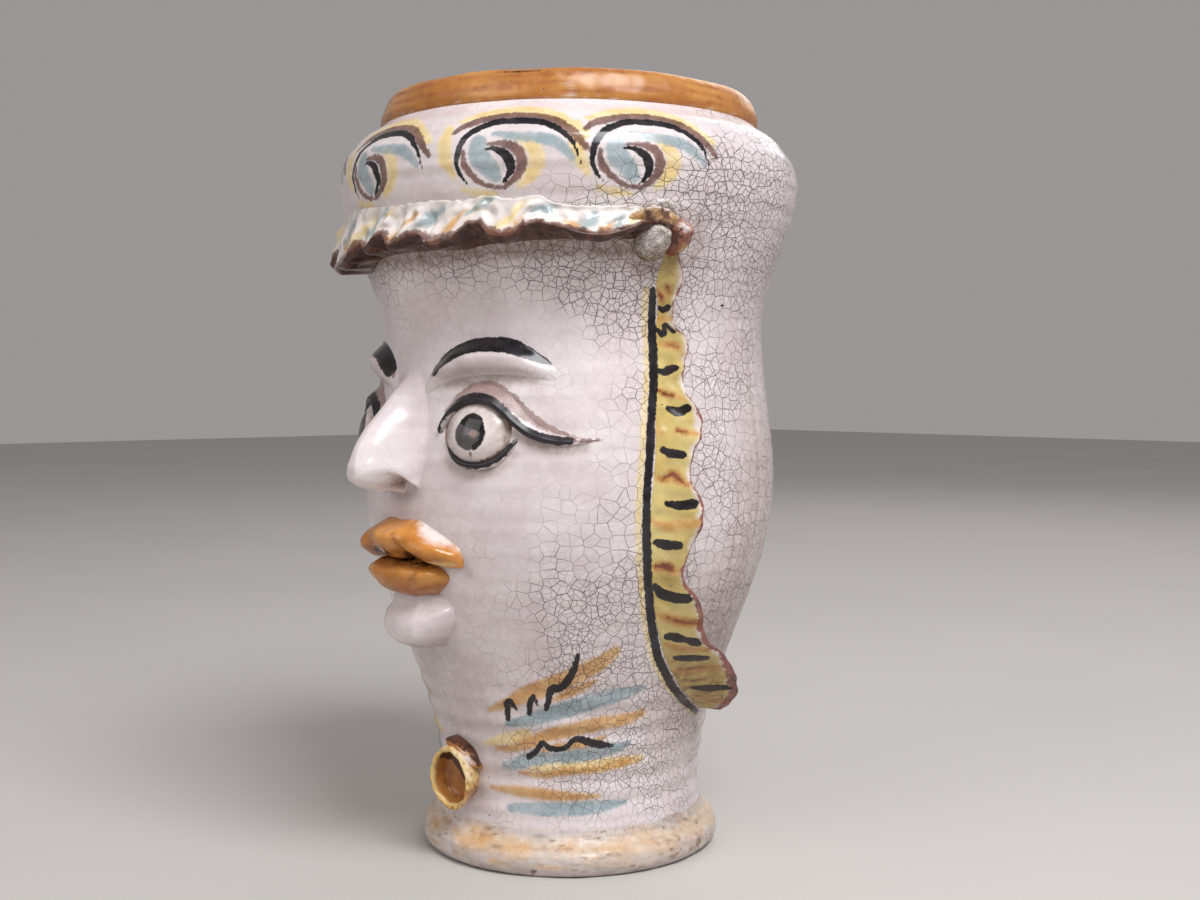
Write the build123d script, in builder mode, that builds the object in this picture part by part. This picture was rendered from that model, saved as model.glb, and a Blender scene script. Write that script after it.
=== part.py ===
from build123d import *
from math import cos, degrees, pi, radians, sin
import os

# Face vase of glazed earthenware: a thrown pot whose wall is a head, with clay laid on it.
# Millimetres, +Z up. The face looks along -Y, so its own left side is at +X.
# The origin is the centre of the foot, on the surface that it stands on.
# Azimuths are degrees about the axis, 0 at the middle of the face, positive to its left.

# Thrown body, from the foot up
foot_height = 21.0
foot_radius = 85.3
foot_ridge_height = 8.0
foot_contact_radius = 81.0
foot_pinch_lean_share = 0.2
floor_thickness = 14.0
pinch_radius = 75.5
neck_rise = 13.0
neck_radius = 74.0
cheek_rise = 172.0
cheek_radius = 116.7
temple_rise = 84.0
temple_radius = 109.8
seam_rise = 52.0
crown_rise = 84.0
crown_radius = 129.5
shoulder_rise = 33.0
collar_radius = 106.0
collar_rise = 13.0
collar_lean = 1.5
rim_round = 3.5
wall = 9.0
face_wall_steps = 14
crown_wall_steps = 8
oval_points = 8

# Nose: sections from the bridge down to the base
nose_top_rise = 61.0
nose_length = 62.0
nose_reach = 31.0
nose_half_width = 17.0

# Eyes
eye_azimuth = 25.0
eye_rise = 31.0
eyeball_radius = 24.0
eyeball_reach = 8.0
lid_half_length = 22.5
upper_lid_rise = 17.0
upper_lid_reach = 6.5
upper_lid_half_width = 4.5
lower_lid_drop = 16.5
lower_lid_reach = 4.5
lower_lid_half_width = 3.2

# Brows
brow_azimuth = 27.0
brow_half_angle = 17.0
brow_rise = 42.0
brow_arch = 13.5
brow_reach = 5.0
brow_half_width = 8.0

# Mouth and chin
mouth_drop = 35.0
lip_gap = 0.8
upper_lip_half_angle = 20.0
upper_lip_half_height = 9.5
upper_lip_reach = 15.0
lower_lip_half_angle = 14.5
lower_lip_half_height = 8.5
lower_lip_reach = 15.0
chin_drop = 78.0
chin_half_angle = 15.0
chin_half_height = 12.5
chin_reach = 18.0

# Frill round the front of the hat
frill_half_angle = 69.0
frill_waves = 9
frill_overlap = 9.0
frill_drop = 12.0
frill_flare = 15.0
frill_edge = 6.0
frill_wave_height = 4.5
frill_wave_depth = 3.0
frill_root = 5.0
frill_end_flare_share = 0.45
frill_end_length_share = 0.12

# Knots at the ends of the frill
knot_azimuth = 70.0
knot_drop = 10.0
knot_half_length = 12.5
knot_half_width = 11.0
knot_reach = 14.0
knot_end_azimuth = 77.0
knot_end_half_length = 8.0
knot_end_half_width = 7.0
knot_end_reach = 9.0

# Ribbons that hang from the knots
ribbon_top_drop = 21.0
ribbon_length = 244.0
ribbon_azimuth = 71.0
ribbon_curl_angle = 36.0
ribbon_straight_share = 0.6
ribbon_width = 21.0
ribbon_thickness = 4.5
ribbon_root_reach = 2.0
ribbon_edge_reach = 10.0
ribbon_wave_reach = 4.0
ribbon_tip_reach = 20.0
ribbon_waves = 5

# Brooch at the front of the neck
brooch_rise = 14.0
brooch_reach = 14.0
brooch_root_radius = 13.5
brooch_mouth_radius = 16.5
brooch_wall = 4.0
brooch_floor = 5.0
brooch_round = 1.8
leaf_azimuth = 5.0
leaf_half_angle = 8.0
leaf_rise = 15.0
leaf_slope = 4.5
leaf_half_width = 7.0
leaf_reach = 7.0

# Heights worked out from the rises
neck_height = foot_height + neck_rise
cheek_height = neck_height + cheek_rise
temple_height = cheek_height + temple_rise
seam_height = temple_height + seam_rise
crown_height = temple_height + crown_rise
collar_height = crown_height + shoulder_rise
rim_height = collar_height + collar_rise
eye_height = cheek_height + eye_rise
brow_height = eye_height + brow_rise
mouth_height = cheek_height - mouth_drop
chin_height = cheek_height - chin_drop
brooch_height = neck_height + brooch_rise
frill_top_height = seam_height + frill_overlap
frill_hem_height = seam_height - frill_drop

wall_stations = [
    (foot_height, pinch_radius),
    (neck_height, neck_radius),
    (cheek_height, cheek_radius),
    (temple_height, temple_radius),
    (crown_height, crown_radius),
]


# Outer radius of the thrown wall: swells and waists eased into each other, then the shoulder
def wall_radius(height):
    if height > crown_height:
        share = (height - crown_height) / shoulder_rise
        return collar_radius + (crown_radius - collar_radius) * cos(share * pi / 2)
    for (low, low_radius), (high, high_radius) in zip(wall_stations, wall_stations[1:]):
        if height <= high:
            share = max(height - low, 0) / (high - low)
            return low_radius + (high_radius - low_radius) * (1 - cos(share * pi)) / 2


# Points up the outline of the wall between two seams, or some way inside it
def wall_points(bottom, top, steps, depth=0):
    heights = [bottom + (top - bottom) * step / steps for step in range(steps + 1)]
    return [(wall_radius(height) - depth, height) for height in heights]


# Direction straight out of the wall at an azimuth
def outward(azimuth):
    return Vector(sin(radians(azimuth)), -cos(radians(azimuth)), 0)


# Point on the outside of the wall, or some way out of it
def on_wall(azimuth, height, reach=0):
    return outward(azimuth) * (wall_radius(height) + reach) + Vector(0, 0, height)


# Direction square to the outside of the wall, with its slope taken over one wall's thickness
def wall_normal(azimuth, height):
    slope = (wall_radius(height + wall / 2) - wall_radius(height - wall / 2)) / wall
    return (outward(azimuth) - Vector(0, 0, 1) * slope).normalized()


# Plane across a strip of clay on the wall, x out of the wall and z along the strip
def strip_plane(before, place, after):
    along = (on_wall(*after) - on_wall(*before)).normalized()
    normal = wall_normal(*place)
    return Plane(origin=on_wall(*place), x_dir=normal - along * normal.dot(along), z_dir=along)


# Planes across a strip whose course is a list of azimuths and heights
def strip_planes(course):
    ends_doubled = [course[0], *course, course[-1]]
    return [strip_plane(*places) for places in zip(ends_doubled, course, ends_doubled[2:])]


# Thrown piece of wall between two heights
def thrown_wall(bottom, top, steps):
    outside = wall_points(bottom, top, steps)
    inside = wall_points(bottom, top, steps, wall)
    with BuildPart() as ring:
        with BuildSketch(Plane.XZ):
            with BuildLine():
                Spline(outside)
                Line(outside[-1], inside[-1])
                Spline(inside)
                Line(inside[0], outside[0])
            make_face()
        revolve(axis=Axis.Z)
    return ring


# Outline of an oval section, which starts on its x side at every size
def oval(x_radius, y_radius):
    turns = [2 * pi * step / oval_points for step in range(oval_points)]
    with BuildLine() as outline:
        Spline([(x_radius * cos(turn), y_radius * sin(turn)) for turn in turns], periodic=True)
    return outline.edges()


# Strip of clay pressed on the wall. Each station is an azimuth, a height, the reach out of
# the wall and half the width across the strip. What it is pressed against is cut out of it.
def pressed_roll(stations, *seats):
    planes = strip_planes([(azimuth, height) for azimuth, height, reach, half_width in stations])
    with BuildPart() as roll:
        for plane, (azimuth, height, reach, half_width) in zip(planes, stations):
            with BuildSketch(plane):
                make_face(oval(reach, half_width))
        loft()
        for seat in seats:
            add(seat.part, mode=Mode.SUBTRACT)
    return roll


# The same piece on the other side of the face
def mirrored(piece):
    with BuildPart() as twin:
        mirror(piece.part, about=Plane.YZ)
    return twin


def finish(piece, name):
    piece.part.label = name
    export_step(piece.part, f"parts/{name}.step")


os.makedirs("parts", exist_ok=True)

# Foot: flared ring with the floor of the vase, flat underneath
with BuildPart() as foot:
    with BuildSketch(Plane.XZ):
        with BuildLine():
            Line((0, 0), (foot_contact_radius, 0))
            Spline(
                (foot_contact_radius, 0),
                (foot_radius, foot_ridge_height),
                (pinch_radius, foot_height),
                tangents=[(1, 0), (-foot_pinch_lean_share, 1)],
            )
            Polyline(
                (pinch_radius, foot_height),
                (pinch_radius - wall, foot_height),
                (pinch_radius - wall, floor_thickness),
                (0, floor_thickness),
                (0, 0),
            )
        make_face()
    revolve(axis=Axis.Z)
finish(foot, "foot")

# Thrown wall in two stages, luted together under the frill
face_wall = thrown_wall(foot_height, seam_height, face_wall_steps)
finish(face_wall, "face_wall")
crown_wall = thrown_wall(seam_height, collar_height, crown_wall_steps)
finish(crown_wall, "crown_wall")

# Collar round the mouth, leaning in a little, with a rounded rim
with BuildPart() as rim_collar:
    with BuildSketch(Plane.XZ) as collar_section:
        with BuildLine():
            Polyline(
                (collar_radius, collar_height),
                (collar_radius - collar_lean, rim_height),
                (collar_radius - collar_lean - wall, rim_height),
                (collar_radius - wall, collar_height),
                close=True,
            )
        make_face()
        fillet(collar_section.vertices().group_by(Axis.Y)[-1], rim_round)
    revolve(axis=Axis.Z)
finish(rim_collar, "rim_collar")

# The whole pot without its hollow, which the clay laid on it is pressed against
with BuildPart() as pot:
    with BuildSketch(Plane.XZ):
        with BuildLine():
            Polyline((0, rim_height), (0, 0), (pinch_radius, 0), (pinch_radius, foot_height))
            Spline(wall_points(foot_height, seam_height, face_wall_steps))
            Spline(wall_points(seam_height, collar_height, crown_wall_steps))
            Polyline((collar_radius, collar_height), (collar_radius, rim_height), (0, rim_height))
        make_face()
    revolve(axis=Axis.Z)

# Nose: shares of its length from the top, its reach and its half width
nose_shares = [
    (0.00, 0.04, 0.44),
    (0.17, 0.26, 0.44),
    (0.34, 0.55, 0.54),
    (0.50, 0.80, 0.70),
    (0.65, 0.96, 0.88),
    (0.78, 1.00, 1.00),
    (0.90, 0.90, 0.96),
    (0.97, 0.74, 0.84),
    (1.00, 0.58, 0.66),
]
with BuildPart() as nose:
    for length_share, reach_share, width_share in nose_shares:
        section_height = cheek_height + nose_top_rise - nose_length * length_share
        section_plane = Plane(origin=on_wall(0, section_height), x_dir=(1, 0, 0), z_dir=(0, 0, 1))
        with BuildSketch(section_plane):
            make_face(oval(nose_half_width * width_share, nose_reach * reach_share))
    loft()
    add(pot.part, mode=Mode.SUBTRACT)
finish(nose, "nose")

# Eyeballs
eyeball_depth = eyeball_radius - eyeball_reach
eyeball_centre = on_wall(eye_azimuth, eye_height) - wall_normal(eye_azimuth, eye_height) * eyeball_depth
with BuildPart() as eyeball_left:
    with Locations(eyeball_centre):
        Sphere(eyeball_radius)
    add(pot.part, mode=Mode.SUBTRACT)
finish(eyeball_left, "eyeball_left")
finish(mirrored(eyeball_left), "eyeball_right")

# Eyelids: shares of the half length, of the lid's rise or drop, and of its thickness
upper_lid_shares = [
    (-1.00, 0.02, 0.40),
    (-0.72, 0.60, 0.85),
    (-0.38, 0.88, 1.00),
    (0.00, 1.00, 1.00),
    (0.40, 0.90, 1.00),
    (0.75, 0.60, 0.90),
    (1.05, 0.22, 0.75),
    (1.45, -0.06, 0.60),
    (1.90, -0.22, 0.45),
    (2.30, -0.24, 0.20),
]
lower_lid_shares = [
    (-0.80, -0.25, 0.35),
    (-0.62, -0.60, 0.85),
    (-0.30, -0.90, 1.00),
    (0.05, -1.00, 1.00),
    (0.42, -0.86, 1.00),
    (0.74, -0.50, 0.80),
    (0.92, -0.15, 0.35),
]


def lid_stations(lid_shares, rise, reach, half_width):
    half_angle = degrees(lid_half_length / wall_radius(eye_height))
    return [
        (
            eye_azimuth + half_angle * length_share,
            eye_height + rise * height_share,
            reach * swell_share,
            half_width * swell_share,
        )
        for length_share, height_share, swell_share in lid_shares
    ]


upper_lid_stations = lid_stations(upper_lid_shares, upper_lid_rise, upper_lid_reach, upper_lid_half_width)
upper_lid_left = pressed_roll(upper_lid_stations, pot, eyeball_left)
finish(upper_lid_left, "upper_lid_left")
finish(mirrored(upper_lid_left), "upper_lid_right")

lower_lid_stations = lid_stations(lower_lid_shares, lower_lid_drop, lower_lid_reach, lower_lid_half_width)
lower_lid_left = pressed_roll(lower_lid_stations, pot, eyeball_left, upper_lid_left)
finish(lower_lid_left, "lower_lid_left")
finish(mirrored(lower_lid_left), "lower_lid_right")

# Brows: shares of the half angle, of the arch below its top, and of the thickness
brow_shares = [
    (-1.00, 1.00, 0.35),
    (-0.80, 0.62, 0.75),
    (-0.50, 0.24, 1.00),
    (-0.05, 0.00, 1.00),
    (0.38, 0.06, 0.95),
    (0.70, 0.36, 0.75),
    (1.00, 0.78, 0.30),
]
brow_stations = [
    (
        brow_azimuth + brow_half_angle * azimuth_share,
        brow_height - brow_arch * drop_share,
        brow_reach * swell_share,
        brow_half_width * swell_share,
    )
    for azimuth_share, drop_share, swell_share in brow_shares
]
brow_left = pressed_roll(brow_stations, pot, nose)
finish(brow_left, "brow_left")
finish(mirrored(brow_left), "brow_right")


# Stations of a roll across the middle of the face, given for one half from the middle out.
# Each is a share of the half angle, of the reach, of the half height and of the offset.
def symmetric_stations(half_shares, half_angle, height, reach, half_height):
    other_half_shares = [(-shares[0], *shares[1:]) for shares in reversed(half_shares[1:])]
    return [
        (
            half_angle * azimuth_share,
            height + half_height * offset_share,
            reach * reach_share,
            half_height * height_share,
        )
        for azimuth_share, reach_share, height_share, offset_share in other_half_shares + half_shares
    ]


# Lips: rolls that meet along the line of the mouth
upper_lip_shares = [
    (0.00, 0.80, 0.70, 0.84),
    (0.22, 0.94, 0.88, 1.00),
    (0.45, 1.00, 0.96, 1.02),
    (0.72, 0.72, 0.66, 0.72),
    (0.90, 0.42, 0.42, 0.46),
    (1.00, 0.20, 0.22, 0.30),
]
lower_lip_shares = [
    (0.00, 1.00, 1.00, -1.00),
    (0.30, 0.98, 0.98, -1.00),
    (0.60, 0.80, 0.82, -0.92),
    (0.86, 0.50, 0.58, -0.76),
    (1.00, 0.22, 0.30, -0.62),
]
upper_lip_stations = symmetric_stations(
    upper_lip_shares, upper_lip_half_angle, mouth_height + lip_gap / 2, upper_lip_reach, upper_lip_half_height
)
lower_lip_stations = symmetric_stations(
    lower_lip_shares, lower_lip_half_angle, mouth_height - lip_gap / 2, lower_lip_reach, lower_lip_half_height
)
upper_lip = pressed_roll(upper_lip_stations, pot)
finish(upper_lip, "upper_lip")
lower_lip = pressed_roll(lower_lip_stations, pot, upper_lip)
finish(lower_lip, "lower_lip")

# Chin: a knob that juts out under the lower lip
chin_shares = [
    (0.00, 1.00, 1.00, 0.00),
    (0.35, 0.94, 0.97, 0.02),
    (0.68, 0.72, 0.85, 0.10),
    (0.90, 0.42, 0.62, 0.22),
    (1.00, 0.20, 0.36, 0.30),
]
chin_stations = symmetric_stations(chin_shares, chin_half_angle, chin_height, chin_reach, chin_half_height)
chin = pressed_roll(chin_stations, pot, lower_lip)
finish(chin, "chin")

# Frill: wedge of clay whose free edge is pinched into waves
with BuildPart() as hat_frill:
    frill_steps = frill_waves * 4
    for step in range(frill_steps + 1):
        step_share = step / frill_steps
        azimuth = frill_half_angle * (2 * step_share - 1)
        wave = cos(2 * pi * frill_waves * step_share)
        fade = min(1, step_share / frill_end_length_share, (1 - step_share) / frill_end_length_share)
        flare_share = frill_end_flare_share + (1 - frill_end_flare_share) * fade
        hem_height = frill_hem_height + frill_wave_height * wave
        hem_reach = frill_flare * flare_share - frill_wave_depth * wave * fade
        section_plane = Plane(origin=(0, 0, 0), x_dir=outward(azimuth), z_dir=outward(azimuth - 90))
        with BuildSketch(section_plane):
            with BuildLine():
                Polyline(
                    (wall_radius(frill_top_height) - wall / 2, frill_top_height),
                    (wall_radius(frill_top_height) + frill_root / 2, frill_top_height - frill_root),
                    (wall_radius(frill_hem_height) + hem_reach, hem_height + frill_edge),
                    (wall_radius(frill_hem_height) + hem_reach, hem_height),
                    (wall_radius(frill_hem_height) - wall / 2, frill_hem_height - frill_root),
                    close=True,
                )
            make_face()
    loft()
    add(pot.part, mode=Mode.SUBTRACT)
finish(hat_frill, "hat_frill")

# Knots: a large lobe over the end of the frill, and a small one behind it
lobe_shares = [(-1.0, 0.36), (-0.6, 0.84), (0.0, 1.0), (0.6, 0.84), (1.0, 0.36)]
knot_height = seam_height - knot_drop


def lobe_stations(azimuth, half_length, reach, half_width):
    return [
        (azimuth, knot_height + half_length * place_share, reach * swell_share, half_width * swell_share)
        for place_share, swell_share in lobe_shares
    ]


knot_stations = lobe_stations(knot_azimuth, knot_half_length, knot_reach, knot_half_width)
knot_left = pressed_roll(knot_stations, pot, hat_frill)
finish(knot_left, "knot_left")
finish(mirrored(knot_left), "knot_right")

knot_end_stations = lobe_stations(
    knot_end_azimuth, knot_end_half_length, knot_end_reach, knot_end_half_width
)
knot_end_left = pressed_roll(knot_end_stations, pot, knot_left)
finish(knot_end_left, "knot_end_left")
finish(mirrored(knot_end_left), "knot_end_right")

# Ribbons: one edge pressed on the wall, the other free and pinched into waves.
# Each hangs straight from its knot, then curls back under the jaw.
ribbon_steps = ribbon_waves * 4
ribbon_top_height = seam_height - ribbon_top_drop
ribbon_shares = [step / ribbon_steps for step in range(ribbon_steps + 1)]
curl_shares = [
    (max(0, step_share - ribbon_straight_share) / (1 - ribbon_straight_share)) ** 2
    for step_share in ribbon_shares
]
ribbon_course = [
    (ribbon_azimuth + ribbon_curl_angle * curl_share, ribbon_top_height - ribbon_length * step_share)
    for step_share, curl_share in zip(ribbon_shares, curl_shares)
]
with BuildPart() as ribbon_left:
    for plane, step_share, curl_share in zip(strip_planes(ribbon_course), ribbon_shares, curl_shares):
        wave = cos(2 * pi * ribbon_waves * step_share)
        edge_reach = ribbon_edge_reach + ribbon_wave_reach * wave
        edge_reach += (ribbon_tip_reach - ribbon_edge_reach) * curl_share
        with BuildSketch(plane):
            with BuildLine():
                Polyline(
                    (-wall / 2, ribbon_thickness / 2),
                    (ribbon_root_reach, 0),
                    (edge_reach, -ribbon_width),
                    (edge_reach - ribbon_thickness, -ribbon_width),
                    (-wall / 2, -ribbon_width / 2),
                    close=True,
                )
            make_face()
    loft()
    for seat in (pot, knot_left, knot_end_left):
        add(seat.part, mode=Mode.SUBTRACT)
finish(ribbon_left, "ribbon_left")
finish(mirrored(ribbon_left), "ribbon_right")

# Brooch: a pinched cup that opens to the front, and a tab of clay tucked behind it
brooch_wall_radius = wall_radius(brooch_height)
with BuildPart() as brooch_cup:
    for distance, radius in ((0, brooch_root_radius), (brooch_reach, brooch_mouth_radius)):
        with BuildSketch(Plane.XZ.offset(brooch_wall_radius + distance)):
            with Locations((0, brooch_height)):
                Circle(radius)
    loft()
    with BuildSketch(Plane.XZ.offset(brooch_wall_radius)):
        with Locations((0, brooch_height)):
            Circle(brooch_root_radius)
    extrude(amount=-wall)
    for distance, radius in ((brooch_floor, brooch_root_radius), (brooch_reach, brooch_mouth_radius)):
        with BuildSketch(Plane.XZ.offset(brooch_wall_radius + distance)):
            with Locations((0, brooch_height)):
                Circle(radius - brooch_wall)
    loft(mode=Mode.SUBTRACT)
    fillet(brooch_cup.faces().sort_by(Axis.Y)[0].edges(), brooch_round)
    add(pot.part, mode=Mode.SUBTRACT)
finish(brooch_cup, "brooch_cup")

leaf_stations = [
    (
        leaf_azimuth + leaf_half_angle * place_share,
        brooch_height + leaf_rise - leaf_slope * place_share,
        leaf_reach * swell_share,
        leaf_half_width * swell_share,
    )
    for place_share, swell_share in lobe_shares
]
brooch_leaf = pressed_roll(leaf_stations, pot, brooch_cup)
finish(brooch_leaf, "brooch_leaf")
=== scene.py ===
import bpy
import numpy as np
from math import atan, pi
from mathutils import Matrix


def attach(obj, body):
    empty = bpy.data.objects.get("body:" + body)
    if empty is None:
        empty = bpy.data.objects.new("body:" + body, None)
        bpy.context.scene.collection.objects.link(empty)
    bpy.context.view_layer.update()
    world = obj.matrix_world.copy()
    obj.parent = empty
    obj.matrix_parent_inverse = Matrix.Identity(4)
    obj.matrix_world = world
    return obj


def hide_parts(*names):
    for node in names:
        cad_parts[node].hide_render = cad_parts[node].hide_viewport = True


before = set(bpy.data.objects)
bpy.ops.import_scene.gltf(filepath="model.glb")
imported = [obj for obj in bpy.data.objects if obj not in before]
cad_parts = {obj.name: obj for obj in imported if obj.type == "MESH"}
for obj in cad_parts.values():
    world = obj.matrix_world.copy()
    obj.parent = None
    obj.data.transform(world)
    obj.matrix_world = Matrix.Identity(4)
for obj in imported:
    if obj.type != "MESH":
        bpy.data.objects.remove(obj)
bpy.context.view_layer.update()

# Lengths are in millimetres until a mesh is written. Azimuths are degrees round the pot,
# 0 at the middle of the face, positive to the head's own left, which is +X.
mm = 0.001
body = "root"
clayDepth = 3.5  # how far a pressed piece reaches into the wall
crackleShift = 0.613  # how far a mirrored piece lies from its twin on the crackle, in metres


def stage(words):
    print("vase:", words)


# Blends and smooth curves through given points
def ease(value, low, high):
    share = np.clip((np.asarray(value, float) - low) / (high - low), 0, 1)
    return share * share * (3 - 2 * share)


def hump(value, centre, spread):
    return np.exp(-(((np.asarray(value, float) - centre) / spread) ** 2))


def curve(points, x):
    xs, ys = np.array(points, float).T
    steps = np.diff(ys) / np.diff(xs)
    slopes = np.concatenate(([steps[0]], np.zeros(len(xs) - 2), [steps[-1]]))
    before, after = steps[:-1], steps[1:]
    alike = before * after > 0
    slopes[1:-1][alike] = 2 * before[alike] * after[alike] / (before[alike] + after[alike])
    x = np.clip(np.asarray(x, float), xs[0], xs[-1])
    low = np.clip(np.searchsorted(xs, x) - 1, 0, len(xs) - 2)
    width = xs[low + 1] - xs[low]
    t = (x - xs[low]) / width
    return (
        ys[low] * (1 + 2 * t) * (1 - t) ** 2
        + ys[low + 1] * t * t * (3 - 2 * t)
        + width * (slopes[low] * t * (1 - t) ** 2 - slopes[low + 1] * t * t * (1 - t))
    )


# Several columns of stations read off at once
def curves(places, columns, x):
    return [curve(np.stack([places, column], -1), x) for column in columns]


# Soft lumps of hand work, from about −1 to 1, about this size across
def lumps(x, y, z, size, seed):
    draw = np.random.default_rng(seed)
    total = 0
    for _ in range(9):
        way = draw.normal(size=3)
        way *= 2 * pi / size * draw.uniform(0.6, 1.4) / np.linalg.norm(way)
        total = total + np.sin(way[0] * x + way[1] * y + way[2] * z + draw.uniform(0, 2 * pi))
    return total / 4


# The pot's outside, as thrown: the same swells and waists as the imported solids
footTop = 21
seamHeight = 342
topHeight = 407
wallStations = np.array([(footTop, 75.5), (34, 74), (206, 116.7), (290, 109.8), (374, 129.5)])
shoulder = {"foot": 374, "height": 33, "radius": 129.5, "collar": 106}
wallThickness = 9
reliefRadius = 110  # hand marks are laid out round a pot of this radius


def wallRadius(z):
    z = np.asarray(z, float)
    heights, radii = wallStations.T
    low = np.clip(np.searchsorted(heights, z) - 1, 0, len(heights) - 2)
    share = np.clip((z - heights[low]) / (heights[low + 1] - heights[low]), 0, 1)
    radius = radii[low] + (radii[low + 1] - radii[low]) * (1 - np.cos(share * pi)) / 2
    up = np.clip((z - shoulder["foot"]) / shoulder["height"], 0, 1)
    domed = shoulder["collar"] + (shoulder["radius"] - shoulder["collar"]) * np.cos(up * pi / 2)
    return np.where(z > shoulder["foot"], domed, radius)


# Length run from the start of a path to each of its points
def runLength(path):
    return np.concatenate(([0], np.cumsum(np.hypot(*np.diff(path, axis=0).T))))


heightTable = np.linspace(0, 430, 861)
lengthTable = runLength(np.stack([heightTable, wallRadius(heightTable)], -1))


# Length up the outline of the wall, which paint and crackle are laid out by
def alongWall(z):
    return np.interp(z, heightTable, lengthTable)


# What throwing and pressing did to the outside of the wall
relief = {"temple": -3.2, "dents": 0.16, "rings": 0.16, "neckRings": 0.5, "sag": 0.55, "socket": -2.6, "neckIn": -3.0}


def wallRelief(azimuth, z):
    azimuth, z = np.asarray(azimuth, float), np.asarray(z, float)
    turn = np.radians(azimuth)
    x, y = reliefRadius * np.sin(turn), -reliefRadius * np.cos(turn)
    aside = np.abs(azimuth)
    amount = relief["temple"] * (1 - ease(aside, 60, 120)) * hump(z, 290, 34)
    amount = amount + relief["sag"] * lumps(x, y, z, 95, 3) + relief["dents"] * lumps(x, y, z, 30, 4)
    drift = 1.1 * lumps(x, y, 0.3 * z, 150, 5)
    rings = np.sin(2 * pi * z / 11.5 + drift) + 0.4 * np.sin(2 * pi * z / 6.7 + 2 * drift)
    amount = amount + relief["rings"] * rings * (0.7 + 0.6 * ease(z, 290, 360)) * ease(z, 110, 130)
    ridges = np.sin(2 * pi * (z - 40.5) / 12.6 + 0.7 * drift)
    amount = amount + relief["neckRings"] * ridges * (1 - ease(z, 88, 118)) * ease(z, 23, 32)
    across = (aside - 25) * 2.0
    amount = amount + relief["socket"] * np.exp(-((across / 26) ** 2) - ((z - 247) / 20) ** 2)
    edges = ease(z, footTop, 26) * (1 - ease(z, 400, topHeight))
    return amount * edges + relief["neckIn"] * ease(z, 394, 403)


def wallPoint(azimuth, z, reach):
    turn = np.radians(azimuth)
    radius = wallRadius(z) + wallRelief(azimuth, z) + reach
    return np.stack([radius * np.sin(turn), -radius * np.cos(turn), z + 0 * turn], -1)


# Mesh work shared by every piece
def selectNothing():
    bpy.ops.object.select_all(action="DESELECT")


def coordinates(piece):
    flat = np.empty(len(piece.data.vertices) * 3)
    piece.data.vertices.foreach_get("co", flat)
    return flat.reshape(-1, 3)


def moveTo(piece, points):
    piece.data.vertices.foreach_set("co", (np.asarray(points, float) * mm).ravel())
    piece.data.update()


def mark(piece, name, values):
    layer = piece.data.attributes.new(name, "FLOAT", "POINT")
    layer.data.foreach_set("value", np.asarray(values, np.float32) + np.zeros(len(piece.data.vertices), np.float32))


# Lays a paint on a piece, from how far inside its strokes each place is
def layPaint(piece, kind, field):
    mark(piece, kind, field + noPaint)


# Lays crackle and glaze out flat on a piece, in metres, with no face across the join at the back
def mapGlaze(piece, azimuth, length, radius=100):
    mesh = piece.data
    corners = np.empty(len(mesh.loops), int)
    mesh.loops.foreach_get("vertex_index", corners)
    counts = np.empty(len(mesh.polygons), int)
    mesh.polygons.foreach_get("loop_total", counts)
    turn = np.asarray(azimuth, float)[corners]
    starts = np.concatenate(([0], np.cumsum(counts)[:-1]))
    wide = np.maximum.reduceat(turn, starts) - np.minimum.reduceat(turn, starts) > 180
    turn[np.repeat(wide, counts) & (turn < 0)] += 360
    flat = np.stack([np.radians(turn) * radius, np.asarray(length, float)[corners]], -1) * mm
    layer = mesh.uv_layers.new(name="glazeMap")
    layer.data.foreach_set("uv", flat.ravel())


# Sheet of clay: a grid with a front and a back, closed round its edge.
# It comes back as its u and v, from −1 to 1, and whether a point is on the front.
def newSheet(name, columns, rows):
    selectNothing()
    bpy.ops.mesh.primitive_grid_add(x_subdivisions=columns, y_subdivisions=rows, size=2)
    piece = bpy.context.object
    piece.name = piece.data.name = name
    bpy.ops.object.mode_set(mode="EDIT")
    bpy.ops.mesh.select_all(action="SELECT")
    bpy.ops.mesh.extrude_region_move(TRANSFORM_OT_translate={"value": (0, 0, -1)})
    bpy.ops.mesh.select_all(action="SELECT")
    bpy.ops.mesh.normals_make_consistent(inside=False)
    bpy.ops.object.mode_set(mode="OBJECT")
    for layer in list(piece.data.uv_layers):
        piece.data.uv_layers.remove(layer)
    u, v, layer = coordinates(piece).T
    return piece, u, v, layer > -0.5


# Outline spun round the axis: pairs of radius and height, joined up into a loop
def newThrown(name, outline, turns):
    selectNothing()
    bpy.ops.mesh.primitive_circle_add(vertices=len(outline), radius=1)
    piece = bpy.context.object
    piece.name = piece.data.name = name
    outline = np.asarray(outline, float)
    moveTo(piece, np.stack([outline[:, 0], 0 * outline[:, 0], outline[:, 1]], -1))
    bpy.ops.object.mode_set(mode="EDIT")
    bpy.ops.mesh.select_all(action="SELECT")
    bpy.ops.mesh.spin(steps=turns, angle=2 * pi, center=(0, 0, 0), axis=(0, 0, 1))
    bpy.ops.mesh.select_all(action="SELECT")
    bpy.ops.mesh.remove_doubles(threshold=0.000005)
    bpy.ops.mesh.delete_loose()
    bpy.ops.mesh.select_all(action="SELECT")
    bpy.ops.mesh.normals_make_consistent(inside=False)
    bpy.ops.object.mode_set(mode="OBJECT")
    return piece


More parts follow.
